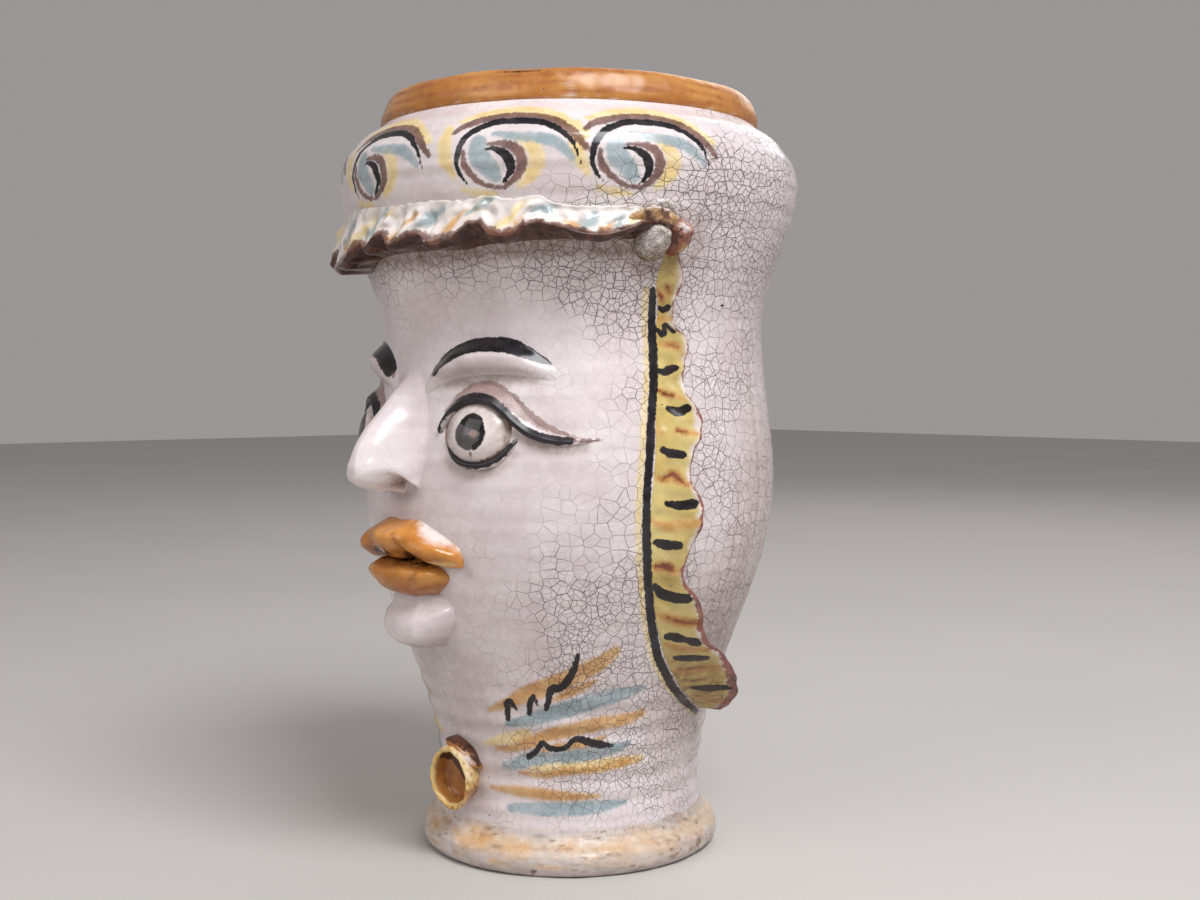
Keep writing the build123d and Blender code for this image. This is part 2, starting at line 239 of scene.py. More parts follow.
# The same piece on the other side of the face, with its own mesh and its own run of crackle
def mirroredCopy(piece, name):
    twin = piece.copy()
    twin.data = piece.data.copy()
    twin.name = twin.data.name = name
    bpy.context.collection.objects.link(twin)
    points = coordinates(twin) / mm
    points[:, 0] *= -1
    moveTo(twin, points)
    twin.data.flip_normals()
    layer = twin.data.uv_layers["glazeMap"]
    flat = np.empty(len(layer.data) * 2)
    layer.data.foreach_get("uv", flat)
    layer.data.foreach_set("uv", flat + crackleShift)
    return twin


def finishPiece(piece, material, slot, *nodes):
    piece.data.polygons.foreach_set("use_smooth", [True] * len(piece.data.polygons))
    piece.data.materials.clear()
    piece.data.materials.append(material)
    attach(piece, body)
    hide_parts(*nodes)


# Brush strokes. A stroke is its half widths along the way, then its course as azimuth and height.
def smoothPath(points, steps=5):
    points = np.asarray(points, float)
    if len(points) < 3:
        return points
    padded = np.vstack([2 * points[0] - points[1], points, 2 * points[-1] - points[-2]])
    path = []
    for a, b, c, d in zip(padded, padded[1:], padded[2:], padded[3:]):
        for t in np.arange(steps) / steps:
            bent = (2 * a - 5 * b + 4 * c - d) * t**2 + (3 * b - a - 3 * c + d) * t**3
            path.append(0.5 * (2 * b + (c - a) * t + bent))
    return np.vstack([*path, points[-1]])


noPaint = 30.0  # added to every paint field, so that a piece without that paint reads as far outside it


# How far inside the strokes each place is, in millimetres
def strokeField(x, y, strokes):
    field = np.full(x.shape, -noPaint)
    for widths, course in strokes:
        path = smoothPath(course)
        lengths = runLength(path)
        halves = np.interp(lengths / lengths[-1], np.linspace(0, 1, len(widths)), widths)
        reach = max(widths) + 6
        low, high = path.min(0) - reach, path.max(0) + reach
        near = np.flatnonzero((x > low[0]) & (x < high[0]) & (y > low[1]) & (y < high[1]))
        for a, b, halfA, halfB in zip(path, path[1:], halves, halves[1:]):
            way = b - a
            size = way @ way + 1e-9
            t = np.clip(((x[near] - a[0]) * way[0] + (y[near] - a[1]) * way[1]) / size, 0, 1)
            dx, dy = x[near] - a[0] - t * way[0], y[near] - a[1] - t * way[1]
            inside = halfA + (halfB - halfA) * t - np.hypot(dx, dy)
            field[near] = np.maximum(field[near], inside)
    return field


# The same on the wall, where the course is azimuth and height
def wallField(azimuth, z, strokes):
    field = np.full(np.shape(azimuth), -noPaint)
    for widths, course in strokes:
        course = np.asarray(course, float)
        centre = course[:, 0].mean()
        flat = np.stack([np.radians(course[:, 0] - centre) * wallRadius(course[:, 1]), alongWall(course[:, 1])], -1)
        x = np.radians(azimuth - centre) * wallRadius(z)
        field = np.maximum(field, strokeField(x, alongWall(z), [(widths, flat)]))
    return field


def bothSides(strokes):
    return strokes + [(widths, [(-azimuth, z) for azimuth, z in course]) for widths, course in strokes]


# Node work shared by the glazes
def newGroup(name, inputs, outputs):
    group = bpy.data.node_groups.new(name, "ShaderNodeTree")
    for label, kind, value in inputs:
        socket = group.interface.new_socket(label, in_out="INPUT", socket_type=kind)
        if value is not None:
            socket.default_value = value
    for label, kind in outputs:
        group.interface.new_socket(label, in_out="OUTPUT", socket_type=kind)
    return group, group.nodes.new("NodeGroupInput"), group.nodes.new("NodeGroupOutput")


def join(tree, value, socket):
    if isinstance(value, bpy.types.NodeSocket):
        tree.links.new(value, socket)
    elif value is not None:
        socket.default_value = value


def calc(tree, operation, first, second=None, third=None):
    node = tree.nodes.new("ShaderNodeMath")
    node.operation = operation
    for value, socket in zip((first, second, third), node.inputs):
        join(tree, value, socket)
    return node.outputs[0]


def vectorCalc(tree, operation, first, second=None, scale=None):
    node = tree.nodes.new("ShaderNodeVectorMath")
    node.operation = operation
    join(tree, first, node.inputs[0])
    if scale is None:
        join(tree, second, node.inputs[1])
    else:
        join(tree, scale, node.inputs["Scale"])
    return node.outputs[0]


def ramp(tree, value, low, high, bottom=0.0, top=1.0):
    node = tree.nodes.new("ShaderNodeMapRange")
    node.interpolation_type = "SMOOTHSTEP"
    for entry, socket in zip((value, low, high, bottom, top), node.inputs):
        join(tree, entry, socket)
    return node.outputs[0]


def blendColours(tree, share, first, second, kind="MIX"):
    node = tree.nodes.new("ShaderNodeMix")
    node.data_type = "RGBA"
    node.blend_type = kind
    join(tree, share, node.inputs[0])
    join(tree, first, node.inputs[6])
    join(tree, second, node.inputs[7])
    return node.outputs[2]


def noise(tree, vector, scale, detail=2.0, rough=0.5, dimensions="3D"):
    node = tree.nodes.new("ShaderNodeTexNoise")
    node.noise_dimensions = dimensions
    join(tree, vector, node.inputs["Vector"])
    node.inputs["Scale"].default_value = scale
    node.inputs["Detail"].default_value = detail
    node.inputs["Roughness"].default_value = rough
    return node


def cells(tree, vector, scale, feature, dimensions="2D"):
    node = tree.nodes.new("ShaderNodeTexVoronoi")
    node.voronoi_dimensions = dimensions
    node.feature = feature
    join(tree, vector, node.inputs["Vector"])
    node.inputs["Scale"].default_value = scale
    return node


def useGroup(tree, group, **values):
    node = tree.nodes.new("ShaderNodeGroup")
    node.node_tree = group
    for label, value in values.items():
        join(tree, value, node.inputs[label])
    return node


# Crackle: long cracks first, then each cell cracks again, so that lines end on one another
crackle = {"cells": (0.0062, 0.0036), "halfWidth": 0.000105, "wander": 0.0011, "reach": (0.08, 0.34)}


def buildCrackle():
    inputs = [("Vector", "NodeSocketVector", None), ("Strength", "NodeSocketFloat", 0.5)]
    group, start, end = newGroup("crackle", inputs, [("Line", "NodeSocketFloat"), ("Tint", "NodeSocketFloat")])
    flat = start.outputs["Vector"]
    wander = noise(group, flat, 75, 3, 0.55, "2D").outputs["Color"]
    wander = vectorCalc(group, "SUBTRACT", wander, (0.5, 0.5, 0.5))
    place = vectorCalc(group, "ADD", flat, vectorCalc(group, "SCALE", wander, scale=2 * crackle["wander"]))
    patch = noise(group, flat, 28, 2, 0.5, "2D").outputs["Fac"]
    patch = ramp(group, patch, 0.3, 0.7, -0.2, 0.2)
    strength = calc(group, "ADD", start.outputs["Strength"], patch)
    line, tint = None, None
    for size, least in zip(crackle["cells"], crackle["reach"]):
        edge = cells(group, place, 1 / size, "DISTANCE_TO_EDGE").outputs["Distance"]
        cell = cells(group, place, 1 / size, "F1")
        inside = calc(group, "MULTIPLY", edge, size)
        width = ramp(group, strength, least, least + 0.8, 0.8 * crackle["halfWidth"], 1.5 * crackle["halfWidth"])
        soft = calc(group, "MULTIPLY", width, 1.7)
        here = calc(group, "SUBTRACT", 1.0, ramp(group, inside, calc(group, "MULTIPLY", width, 0.5), soft))
        here = calc(group, "MULTIPLY", here, ramp(group, strength, least - 0.16, least + 0.02, 0.0, 1.0))
        here = calc(group, "MULTIPLY", here, ramp(group, strength, least + 0.04, least + 0.6, 0.1, 1.0))
        line = here if line is None else calc(group, "MAXIMUM", line, here)
        tint = cell.outputs["Color"]
        place = vectorCalc(group, "ADD", place, vectorCalc(group, "SCALE", tint, scale=3.7))
    group.links.new(line, end.inputs["Line"])
    shade = group.nodes.new("ShaderNodeSeparateColor")
    group.links.new(tint, shade.inputs[0])
    group.links.new(shade.outputs[0], end.inputs["Tint"])
    return group


# A brushed coat: the painted places come in a field of millimetres inside the stroke
def buildBrush():
    inputs = [
        ("Base", "NodeSocketColor", None),
        ("Vector", "NodeSocketVector", None),
        ("Field", "NodeSocketFloat", -noPaint),
        ("Edge", "NodeSocketFloat", 0.4),
        ("Ragged", "NodeSocketFloat", 0.6),
        ("Grain", "NodeSocketFloat", 0.0),
        ("Cover", "NodeSocketFloat", 1.0),
        ("Thin", "NodeSocketColor", None),
        ("Thick", "NodeSocketColor", None),
    ]
    group, start, end = newGroup("brushedCoat", inputs, [("Color", "NodeSocketColor"), ("Mask", "NodeSocketFloat")])
    vector = start.outputs["Vector"]
    rough = noise(group, vector, 420, 3, 0.6).outputs["Fac"]
    rough = calc(group, "MULTIPLY", calc(group, "SUBTRACT", rough, 0.5), start.outputs["Ragged"])
    field = calc(group, "MULTIPLY_ADD", rough, 4.0, start.outputs["Field"])
    mask = ramp(group, field, calc(group, "MULTIPLY", start.outputs["Edge"], -1.0), start.outputs["Edge"])
    grain = noise(group, vector, 1900, 2, 0.7).outputs["Fac"]
    grain = ramp(group, grain, 0.42, 0.62)
    grain = calc(group, "SUBTRACT", 1.0, calc(group, "MULTIPLY", grain, start.outputs["Grain"]))
    mask = calc(group, "MULTIPLY", calc(group, "MULTIPLY", mask, grain), start.outputs["Cover"])
    load = noise(group, vector, 130, 3, 0.55).outputs["Fac"]
    deep = ramp(group, field, 0.0, 3.5, 0.0, 0.35)
    load = calc(group, "ADD", ramp(group, load, 0.32, 0.68), deep)
    coat = blendColours(group, load, start.outputs["Thin"], start.outputs["Thick"])
    group.links.new(blendColours(group, mask, start.outputs["Base"], coat), end.inputs["Color"])
    group.links.new(mask, end.inputs["Mask"])
    return group


# Glaze surface: slow mottling, fired-in specks and pinholes, and the ripple that the light catches
def buildSurface():
    inputs = [("Vector", "NodeSocketVector", None)]
    outputs = [("Mottle", "NodeSocketFloat"), ("Specks", "NodeSocketFloat"), ("Ripple", "NodeSocketFloat")]
    group, start, end = newGroup("glazeSurface", inputs, outputs)
    vector = start.outputs["Vector"]
    mottle = noise(group, vector, 34, 4, 0.6).outputs["Fac"]
    group.links.new(ramp(group, mottle, 0.3, 0.7), end.inputs["Mottle"])
    spots = cells(group, vector, 110, "F1", "3D")
    shade = group.nodes.new("ShaderNodeSeparateColor")
    group.links.new(spots.outputs["Color"], shade.inputs[0])
    size = ramp(group, shade.outputs[0], 0.62, 1.0, 0.0, 0.085)
    speck = calc(group, "SUBTRACT", 1.0,
        ramp(group, spots.outputs["Distance"], calc(group, "MULTIPLY", size, 0.5), size))
    present = calc(group, "GREATER_THAN", shade.outputs[0], 0.62)
    group.links.new(calc(group, "MULTIPLY", speck, present), end.inputs["Specks"])
    slow = noise(group, vector, 62, 2, 0.45).outputs["Fac"]
    quick = noise(group, vector, 260, 2, 0.5).outputs["Fac"]
    group.links.new(calc(group, "MULTIPLY_ADD", quick, 0.16, slow), end.inputs["Ripple"])
    return group


crackleGroup, brushGroup, surfaceGroup = buildCrackle(), buildBrush(), buildSurface()

# The painter's colours, thin and thick, and how each was laid on
paintColumns = ("Thin", "Thick", "Edge", "Ragged", "Grain", "Cover")
paints = {
    "white": ((0.80, 0.73, 0.70), (0.74, 0.66, 0.64), 1.6, 0.6, 0.0, 0.95),
    "rose": ((0.315, 0.200, 0.180), (0.215, 0.128, 0.110), 0.6, 0.9, 0.32, 0.92),
    "slate": ((0.085, 0.082, 0.085), (0.045, 0.045, 0.050), 0.4, 0.3, 0.05, 0.97),
    "yellow": ((0.80, 0.67, 0.38), (0.74, 0.54, 0.19), 1.5, 0.8, 0.1, 0.85),
    "orange": ((0.67, 0.42, 0.18), (0.54, 0.27, 0.07), 1.5, 0.7, 0.12, 0.93),
    "blue": ((0.37, 0.43, 0.445), (0.215, 0.315, 0.345), 1.0, 0.7, 0.15, 0.88),
    "brown": ((0.205, 0.095, 0.070), (0.095, 0.034, 0.024), 0.6, 0.8, 0.12, 0.93),
    "rust": ((0.45, 0.185, 0.055), (0.31, 0.10, 0.026), 1.5, 0.9, 0.15, 0.85),
    "sand": ((0.75, 0.62, 0.49), (0.67, 0.47, 0.29), 2.4, 0.9, 0.4, 0.8),
    "umber": ((0.135, 0.052, 0.030), (0.042, 0.015, 0.010), 0.7, 0.8, 0.01, 0.99),
    "russet": ((0.30, 0.082, 0.052), (0.165, 0.034, 0.022), 0.5, 0.9, 0.16, 0.96),
    "black": ((0.024, 0.022, 0.026), (0.006, 0.005, 0.007), 0.28, 0.55, 0.012, 0.997),
}


def colour(red, green, blue):
    return (red, green, blue, 1.0)


# A glaze over the clay: its own two tones, the paints on it, then crackle, specks, and dirt with painted shade
def newGlaze(name, light, deep, coats, crackTone=(0.045, 0.030, 0.026), dirtAndShadeTone=(0.16, 0.085, 0.045), gloss=0.13):
    material = bpy.data.materials.new(name)
    material.use_nodes = True
    tree = material.node_tree
    tree.nodes.clear()
    out = tree.nodes.new("ShaderNodeOutputMaterial")
    shader = tree.nodes.new("ShaderNodeBsdfPrincipled")
    tree.links.new(shader.outputs[0], out.inputs[0])
    place = tree.nodes.new("ShaderNodeTexCoord").outputs["Object"]
    flat = tree.nodes.new("ShaderNodeUVMap")
    flat.uv_map = "glazeMap"

    def attribute(label, less=0):
        node = tree.nodes.new("ShaderNodeAttribute")
        node.attribute_name = label
        return calc(tree, "SUBTRACT", node.outputs["Fac"], less) if less else node.outputs["Fac"]

    surface = useGroup(tree, surfaceGroup, Vector=place)
    tone = blendColours(tree, surface.outputs["Mottle"], colour(*light), colour(*deep))
    for label in coats:
        coat = useGroup(tree, brushGroup, Base=tone, Vector=place, Field=attribute(label, noPaint))
        for setting, value in zip(paintColumns, paints[label]):
            coat.inputs[setting].default_value = colour(*value) if isinstance(value, tuple) else value
        tone = coat.outputs["Color"]
        darkMask = coat.outputs["Mask"]
    endsBlack = coats[-1] == "black"
    cracks = useGroup(tree, crackleGroup, Vector=flat.outputs[0], Strength=attribute("crack"))
    line = cracks.outputs["Line"]
    if endsBlack:
        line = calc(tree, "MULTIPLY", line, calc(tree, "MULTIPLY_ADD", darkMask, -0.8, 1.0))
    tinted = calc(tree, "MULTIPLY_ADD", cracks.outputs["Tint"], 0.07, 0.96)
    tintColour = tree.nodes.new("ShaderNodeCombineColor")
    for socket in tintColour.inputs[:3]:
        tree.links.new(tinted, socket)
    tone = blendColours(tree, 1.0, tone, tintColour.outputs[0], "MULTIPLY")
    tone = blendColours(tree, calc(tree, "MULTIPLY", line, 0.9), tone, colour(*crackTone))
    tone = blendColours(tree, calc(tree, "MULTIPLY", surface.outputs["Specks"], 0.75), tone, colour(0.10, 0.06, 0.05))
    # Darkening for dirt and for painted shade in creases and under raised pieces, broken into blotches, in one brown
    # tone
    blotches = noise(tree, place, 230, 4, 0.65).outputs["Fac"]
    dirtAndShade = calc(tree, "MULTIPLY", attribute("dirtAndShade"), ramp(tree, blotches, 0.22, 0.62, 0.35, 1.15))
    if endsBlack:
        dirtAndShade = calc(tree, "MULTIPLY", dirtAndShade, calc(tree, "MULTIPLY_ADD", darkMask, -0.7, 1.0))
    tone = blendColours(tree, dirtAndShade, tone, colour(*dirtAndShadeTone))
    tree.links.new(tone, shader.inputs["Base Color"])
    dull = ramp(tree, surface.outputs["Mottle"], 0.0, 1.0, gloss, gloss + 0.09)
    dull = calc(tree, "ADD", dull, calc(tree, "MULTIPLY", dirtAndShade, 0.35))
    tree.links.new(calc(tree, "ADD", dull, calc(tree, "MULTIPLY", line, 0.25)), shader.inputs["Roughness"])
    height = calc(tree, "MULTIPLY_ADD", line, -0.12, surface.outputs["Ripple"])
    height = calc(tree, "MULTIPLY_ADD", surface.outputs["Specks"], -0.3, height)
    bump = tree.nodes.new("ShaderNodeBump")
    bump.inputs["Strength"].default_value = 0.55
    bump.inputs["Distance"].default_value = 0.0006
    tree.links.new(height, bump.inputs["Height"])
    tree.links.new(bump.outputs[0], shader.inputs["Normal"])
    shader.inputs["IOR"].default_value = 1.52
    shader.inputs["Specular IOR Level"].default_value = 0.36
    return material


allPaints = ["yellow", "orange", "blue", "rose", "brown", "black"]
whiteTones = ((0.735, 0.665, 0.670), (0.640, 0.560, 0.568))
whiteGlaze = newGlaze("whiteTinGlaze", *whiteTones, allPaints)
ochreGlaze = newGlaze("ochreGlaze", (0.64, 0.295, 0.072), (0.43, 0.150, 0.026),
    ["white", "yellow", "rust", "umber", "black"], gloss=0.08)
frillGlaze = newGlaze("streakedGlaze", (0.76, 0.71, 0.68), (0.66, 0.60, 0.57),
    ["yellow", "orange", "blue", "brown", "umber"])
eyeGlaze = newGlaze("eyeGlaze", (0.74, 0.665, 0.650), (0.62, 0.540, 0.515), ["slate", "rose", "brown", "black"],
    gloss=0.08)
yellowGlaze = newGlaze("yellowGlaze", (0.67, 0.555, 0.235), (0.53, 0.385, 0.115),
    ["white", "orange", "rust", "russet", "black"])
rustGlaze = newGlaze("rustGlaze", (0.37, 0.135, 0.095), (0.20, 0.055, 0.035), ["white", "orange", "umber"],
    gloss=0.09)
rimGlaze = newGlaze("rimGlaze", (0.53, 0.255, 0.072), (0.40, 0.155, 0.032), ["white", "rust", "umber"], gloss=0.23)
footGlaze = newGlaze("footGlaze", (0.68, 0.62, 0.595), (0.54, 0.47, 0.445), ["sand", "orange", "brown"],
    dirtAndShadeTone=(0.20, 0.13, 0.085), gloss=0.24)
lidGlaze = newGlaze("lidGlaze", *whiteTones, ["rose", "brown", "black"], gloss=0.27)
stage("glazes mixed")

# Scroll brushed on the hat. Azimuths are from the middle of the scroll.
scrolls = {
    "places": [-67, -36, 0.8, 38, 68.5],
    "black": [
        ([0.5, 1.5, 1.9, 2.1, 2.2, 1.9, 1.3, 0.4],
         [(-11.3, 359.4), (-13.1, 364.0), (-14.0, 369.4), (-13.7, 374.7), (-13.0, 379.6), (-11.5, 384.1),
          (-9.0, 387.6), (-5.5, 390.0), (-1.7, 390.4), (2.2, 390.1), (5.6, 389.0), (8.6, 386.1), (10.8, 382.2),
          (12.4, 378.0), (14.0, 368.5)]),
        ([0.4, 1.4, 2.2, 2.7, 1.6, 0.6],
         [(-7.3, 376.0), (-5.4, 376.3), (-3.5, 374.7), (-1.9, 371.5), (-1.3, 367.5), (-1.7, 363.7), (-3.3, 359.5)]),
    ],
    "brown": [
        ([1.4, 2.4, 2.6, 2.8, 2.8, 2.6, 2.4, 1.4],
         [(-15.4, 385.5), (-13.6, 388.6), (-9.8, 391.2), (-5.6, 392.9), (-1.1, 393.2), (3.3, 392.4), (7.4, 390.7),
          (10.6, 387.0), (13.0, 382.0), (15.8, 375.0)]),
        ([1.2, 2.0, 1.6, 1.2, 0.9],
         [(-12.3, 375.4), (-12.1, 369.1), (-10.4, 363.7), (-8.2, 359.9), (-5.7, 358.0), (-2.7, 357.3)]),
        ([0.8, 1.8, 2.6, 2.8, 2.2, 1.2],
         [(-6.6, 378.4), (-3.4, 378.6), (-0.7, 376.8), (0.8, 373.2), (1.2, 369.0), (0.6, 364.4), (-0.8, 361.0),
          (-2.7, 358.2)]),
    ],
    "blue": [
        ([4.6, 5.6, 5.0, 3.6], [(-8.8, 379.0), (-8.6, 373.0), (-6.6, 367.6), (-4.9, 363.1)]),
        ([1.6, 2.4, 2.8, 3.2, 3.0, 1.6],
         [(-5.3, 383.7), (-1.0, 382.3), (3.1, 381.5), (7.1, 379.9), (10.0, 376.2), (12.4, 370.7)]),
    ],
    "yellow": [
        ([1.6, 3.6, 3.8, 3.6, 2.4],
         [(-14.5, 391.6), (-10.9, 394.0), (-6.9, 395.6), (-1.5, 396.6), (4.0, 395.6), (8.4, 392.7), (11.8, 388.0),
          (15.2, 382.7)]),
        ([2.4, 4.4, 4.0, 1.6], [(-17.2, 388.4), (-17.3, 380.7), (-16.9, 372.3), (-15.0, 364.0)]),
        ([2.0, 3.8, 4.2, 3.6, 1.8], [(0.7, 381.3), (3.1, 377.4), (4.6, 371.1), (3.5, 364.2), (0.6, 358.4)]),
        ([1.2, 2.2, 1.2], [(-12.8, 357.0), (-9.2, 355.2), (-5.2, 354.6)]),
    ],
}


def scrollStrokes(kind):
    return [
        (widths, [(azimuth + place, z) for azimuth, z in course])
        for place in scrolls["places"]
        for widths, course in scrolls[kind]
    ]


# Strokes on the neck, the cheek and round the eye, for the head's left side
neckPaint = {
    "orange": [
        ([1.5, 4.0, 5.5, 5.5, 5.0, 3.0],
            [(18.8, 87.9), (27.9, 93.6), (35.3, 99.5), (41.8, 103.2), (48.0, 107.5), (53.8, 112.0), (59.5, 117.2),
             (63.8, 123.1)]),
        ([1.0, 2.6, 2.6, 1.0], [(42.7, 95.9), (48.7, 99.5), (53.2, 102.7), (58.2, 106.8)]),
        ([1.6, 3.2, 4.2, 4.4, 4.0, 2.4],
            [(19.5, 66.2), (28.2, 68.0), (36.0, 72.5), (43.2, 76.6), (50.0, 78.8), (56.7, 81.0), (63.5, 82.6),
             (70.5, 83.7), (77.3, 86.4)]),
        ([1.0, 2.2, 2.4, 1.4], [(37.1, 66.2), (45.3, 69.6), (54.8, 70.4), (62.7, 74.1)]),
        ([1.0, 2.6, 2.2, 1.8, 2.6, 1.4],
            [(29.0, 53.6), (37.8, 53.2), (47.6, 55.4), (57.4, 56.0), (67.4, 58.2), (79.2, 59.7)]),
        ([1.2, 3.0, 3.6, 3.0, 1.2],
            [(15.3, 43.6), (24.1, 43.4), (32.3, 43.0), (42.6, 42.2), (52.6, 41.3), (61.1, 41.6)]),
    ],
    "blue": [
        ([2.0, 4.2, 5.2, 5.0, 4.4, 1.6],
            [(25.8, 81.0), (34.2, 84.0), (41.2, 87.6), (47.8, 90.6), (54.3, 93.4), (60.6, 96.1), (67.1, 98.1),
             (76.1, 101.1)]),
        ([2.4, 4.2, 3.0, 4.0, 4.0, 1.6],
            [(22.5, 56.6), (27.5, 58.6), (33.9, 61.6), (42.8, 62.6), (52.4, 64.2), (62.1, 66.3), (73.0, 69.6)]),
        ([2.2, 3.6, 4.0, 3.6, 1.4],
            [(24.0, 33.8), (32.2, 34.3), (42.5, 34.6), (52.6, 35.0), (62.7, 35.6), (73.4, 37.0)]),
    ],
    "yellow": [
        ([1.5, 4.0, 4.0, 1.5], [(33.0, 56.5), (45.0, 58.2), (60.0, 58.6), (80.0, 60.6)]),
        ([1.5, 3.5, 3.0], [(14.0, 68.0), (22.0, 71.5), (33.0, 76.0)]),
    ],
    "black": [
        ([1.4, 1.7, 1.7, 1.5, 0.7],
            [(26.1, 83.6), (26.3, 88.6), (26.9, 93.6), (28.2, 94.4), (29.1, 92.0), (30.2, 88.8)]),
        ([1.5, 1.8, 1.6, 1.0, 0.5], [(34.7, 87.9), (35.4, 93.1), (36.6, 97.6), (37.5, 95.8), (38.5, 92.2)]),
        ([1.4, 1.9, 2.1, 2.1, 2.3, 1.9, 1.7, 1.0],
            [(41.0, 90.8), (42.0, 95.4), (42.5, 99.4), (43.9, 103.2), (45.5, 102.4), (47.5, 104.4), (49.6, 108.9),
             (51.0, 113.9), (51.7, 118.5), (52.1, 122.0)]),
        ([1.8, 1.6, 1.4, 1.8, 1.4, 1.6, 2.4, 2.2, 0.9],
            [(32.9, 63.0), (35.6, 65.4), (37.2, 67.9), (38.6, 71.3), (39.9, 70.6), (41.5, 68.6), (44.4, 67.9),
             (47.2, 68.6), (49.6, 71.3), (52.0, 74.0), (55.1, 72.6), (58.5, 71.1), (61.9, 70.2), (66.4, 69.4)]),
    ],
}

# The line down the cheek along the ribbon, its thin yellow edge, and dirt with painted shade in creases, under raised
# pieces and under the frill
ribbonLine = [(72.2, 308.9), (72.6, 294), (72.8, 278.5), (72.4, 265), (71.6, 253.2), (70.6, 240), (70.0, 228.0),
    (69.3, 215), (68.9, 202.9), (69.0, 190), (69.5, 177.3), (70.6, 163), (72.0, 150.6), (73.8, 139), (76.2, 128.1),
    (79.0, 118), (83.0, 109.2), (87.6, 101), (93.4, 93.2), (101.5, 85.6), (110.6, 78.4)]
cheekPaint = {
    "black": [([1.9, 2.5, 2.3, 2.4, 2.1, 2.4, 2.3, 2.5, 2.6, 2.5, 1.7], ribbonLine),
        ([0.9, 1.2, 0.8], [(96.0, 302.8), (96.6, 302.2), (97.3, 301.8)])],
    "yellow": [([1.7] * 3, [(azimuth - 2.0, z) for azimuth, z in ribbonLine])],
}
eyePaint = {
    "black": [([3.3, 4.0, 3.8, 3.8, 4.0, 3.8, 2.9, 0.9],
            [(10.8, 268.4), (13.6, 273.4), (18.4, 278.4), (22.8, 280.6), (27.2, 281.4), (33.0, 280.6), (38.2, 277.0),
             (44.4, 271.4)])],
    "rose": [
        ([0.8, 2.4, 3.6, 4.0, 3.8, 3.2, 2.2, 1.2, 0.4],
         [(14.5, 246.5), (17.5, 252.3), (21.5, 257.2), (25.5, 259.2), (29.6, 257.6), (33.6, 253.2), (37.4, 247.4),
          (41.8, 241.8), (46.4, 237.6), (52.0, 234.2)]),
    ],
    "brown": [
        ([0.8, 1.0, 0.5], [(49.6, 232.9), (53.6, 232.9), (57.4, 233.6)]),
        ([0.9, 1.6, 0.9], [(9.2, 267.4), (9.2, 265.0), (10.2, 262.6)]),
    ],
}
dirtAndShadeStrokes = [
    ([0.8, 1.4, 0.8], [(14.5, 262.0), (24.0, 263.5), (33.0, 264.5), (40.5, 264.0)]),
    ([0.8, 1.2, 1.4, 0.8], [(36.0, 236.0), (40.5, 231.6), (46.0, 229.0), (53.0, 229.8)]),
    ([1.0, 2.0, 1.4], [(63.0, 327.0), (67.0, 320.5), (73.0, 319.5)]),
    ([1.2, 1.6, 1.2], [(84.0, 148.0), (92.0, 124.0), (104.0, 104.0)]),
]
faintDirtAndShade = [
    ([0.6, 1.0, 0.6], [(-7.5, 204.2), (0, 203.0), (7.5, 204.2)]),
    ([0.5, 1.0, 0.6], [(19.4, 169.4), (21.0, 167.4), (22.0, 164.8)]),
    ([0.6, 1.0, 0.7], [(16.5, 222.0), (21.0, 217.4), (26.0, 216.4), (31.0, 218.6), (35.0, 225.0)]),
    ([1.0, 1.4, 1.0], [(79.0, 322.0), (83.0, 330.0), (82.0, 342.0)]),
]
frillShade = [([4.0, 5.0, 5.0, 4.0], [(-72, 331), (-40, 332), (0, 329), (30, 331), (66, 331)])]

# How strongly the glaze has cracked, by azimuth across and height up
crackAzimuths = [0, 15, 30, 42, 52, 62, 72, 90, 180]
crackHeights = [20, 40, 70, 100, 130, 165, 200, 240, 275, 292, 306, 320, 342, 352, 366, 380, 395, 410]
crackStrengths = np.array([
    [0.18, 0.18, 0.22, 0.28, 0.34, 0.42, 0.48, 0.55, 0.50],
    [0.22, 0.26, 0.34, 0.44, 0.52, 0.60, 0.66, 0.70, 0.55],
    [0.26, 0.32, 0.46, 0.58, 0.66, 0.74, 0.78, 0.76, 0.60],
    [0.26, 0.32, 0.48, 0.62, 0.72, 0.78, 0.80, 0.74, 0.60],
    [0.20, 0.26, 0.42, 0.58, 0.70, 0.76, 0.78, 0.70, 0.60],
    [0.08, 0.12, 0.28, 0.48, 0.60, 0.66, 0.70, 0.64, 0.60],
    [0.02, 0.04, 0.12, 0.26, 0.40, 0.50, 0.58, 0.60, 0.60],
    [0.02, 0.02, 0.04, 0.08, 0.22, 0.40, 0.52, 0.58, 0.60],
    [0.06, 0.06, 0.08, 0.12, 0.24, 0.42, 0.62, 0.62, 0.60],
    [0.16, 0.18, 0.24, 0.34, 0.46, 0.58, 0.76, 0.68, 0.60],
    [0.36, 0.42, 0.52, 0.62, 0.74, 0.82, 0.92, 0.80, 0.62],
    [0.62, 0.70, 0.82, 0.88, 0.92, 0.96, 0.98, 0.88, 0.66],
    [0.70, 0.80, 0.90, 0.94, 0.96, 0.98, 1.00, 0.90, 0.68],
    [0.12, 0.12, 0.14, 0.20, 0.44, 0.74, 0.92, 0.86, 0.68],
    [0.10, 0.10, 0.10, 0.14, 0.26, 0.52, 0.78, 0.82, 0.66],
    [0.08, 0.08, 0.08, 0.10, 0.12, 0.20, 0.42, 0.72, 0.62],
    [0.10, 0.10, 0.10, 0.10, 0.12, 0.18, 0.38, 0.58, 0.56],
    [0.16, 0.16, 0.16, 0.18, 0.22, 0.28, 0.40, 0.50, 0.50],
])


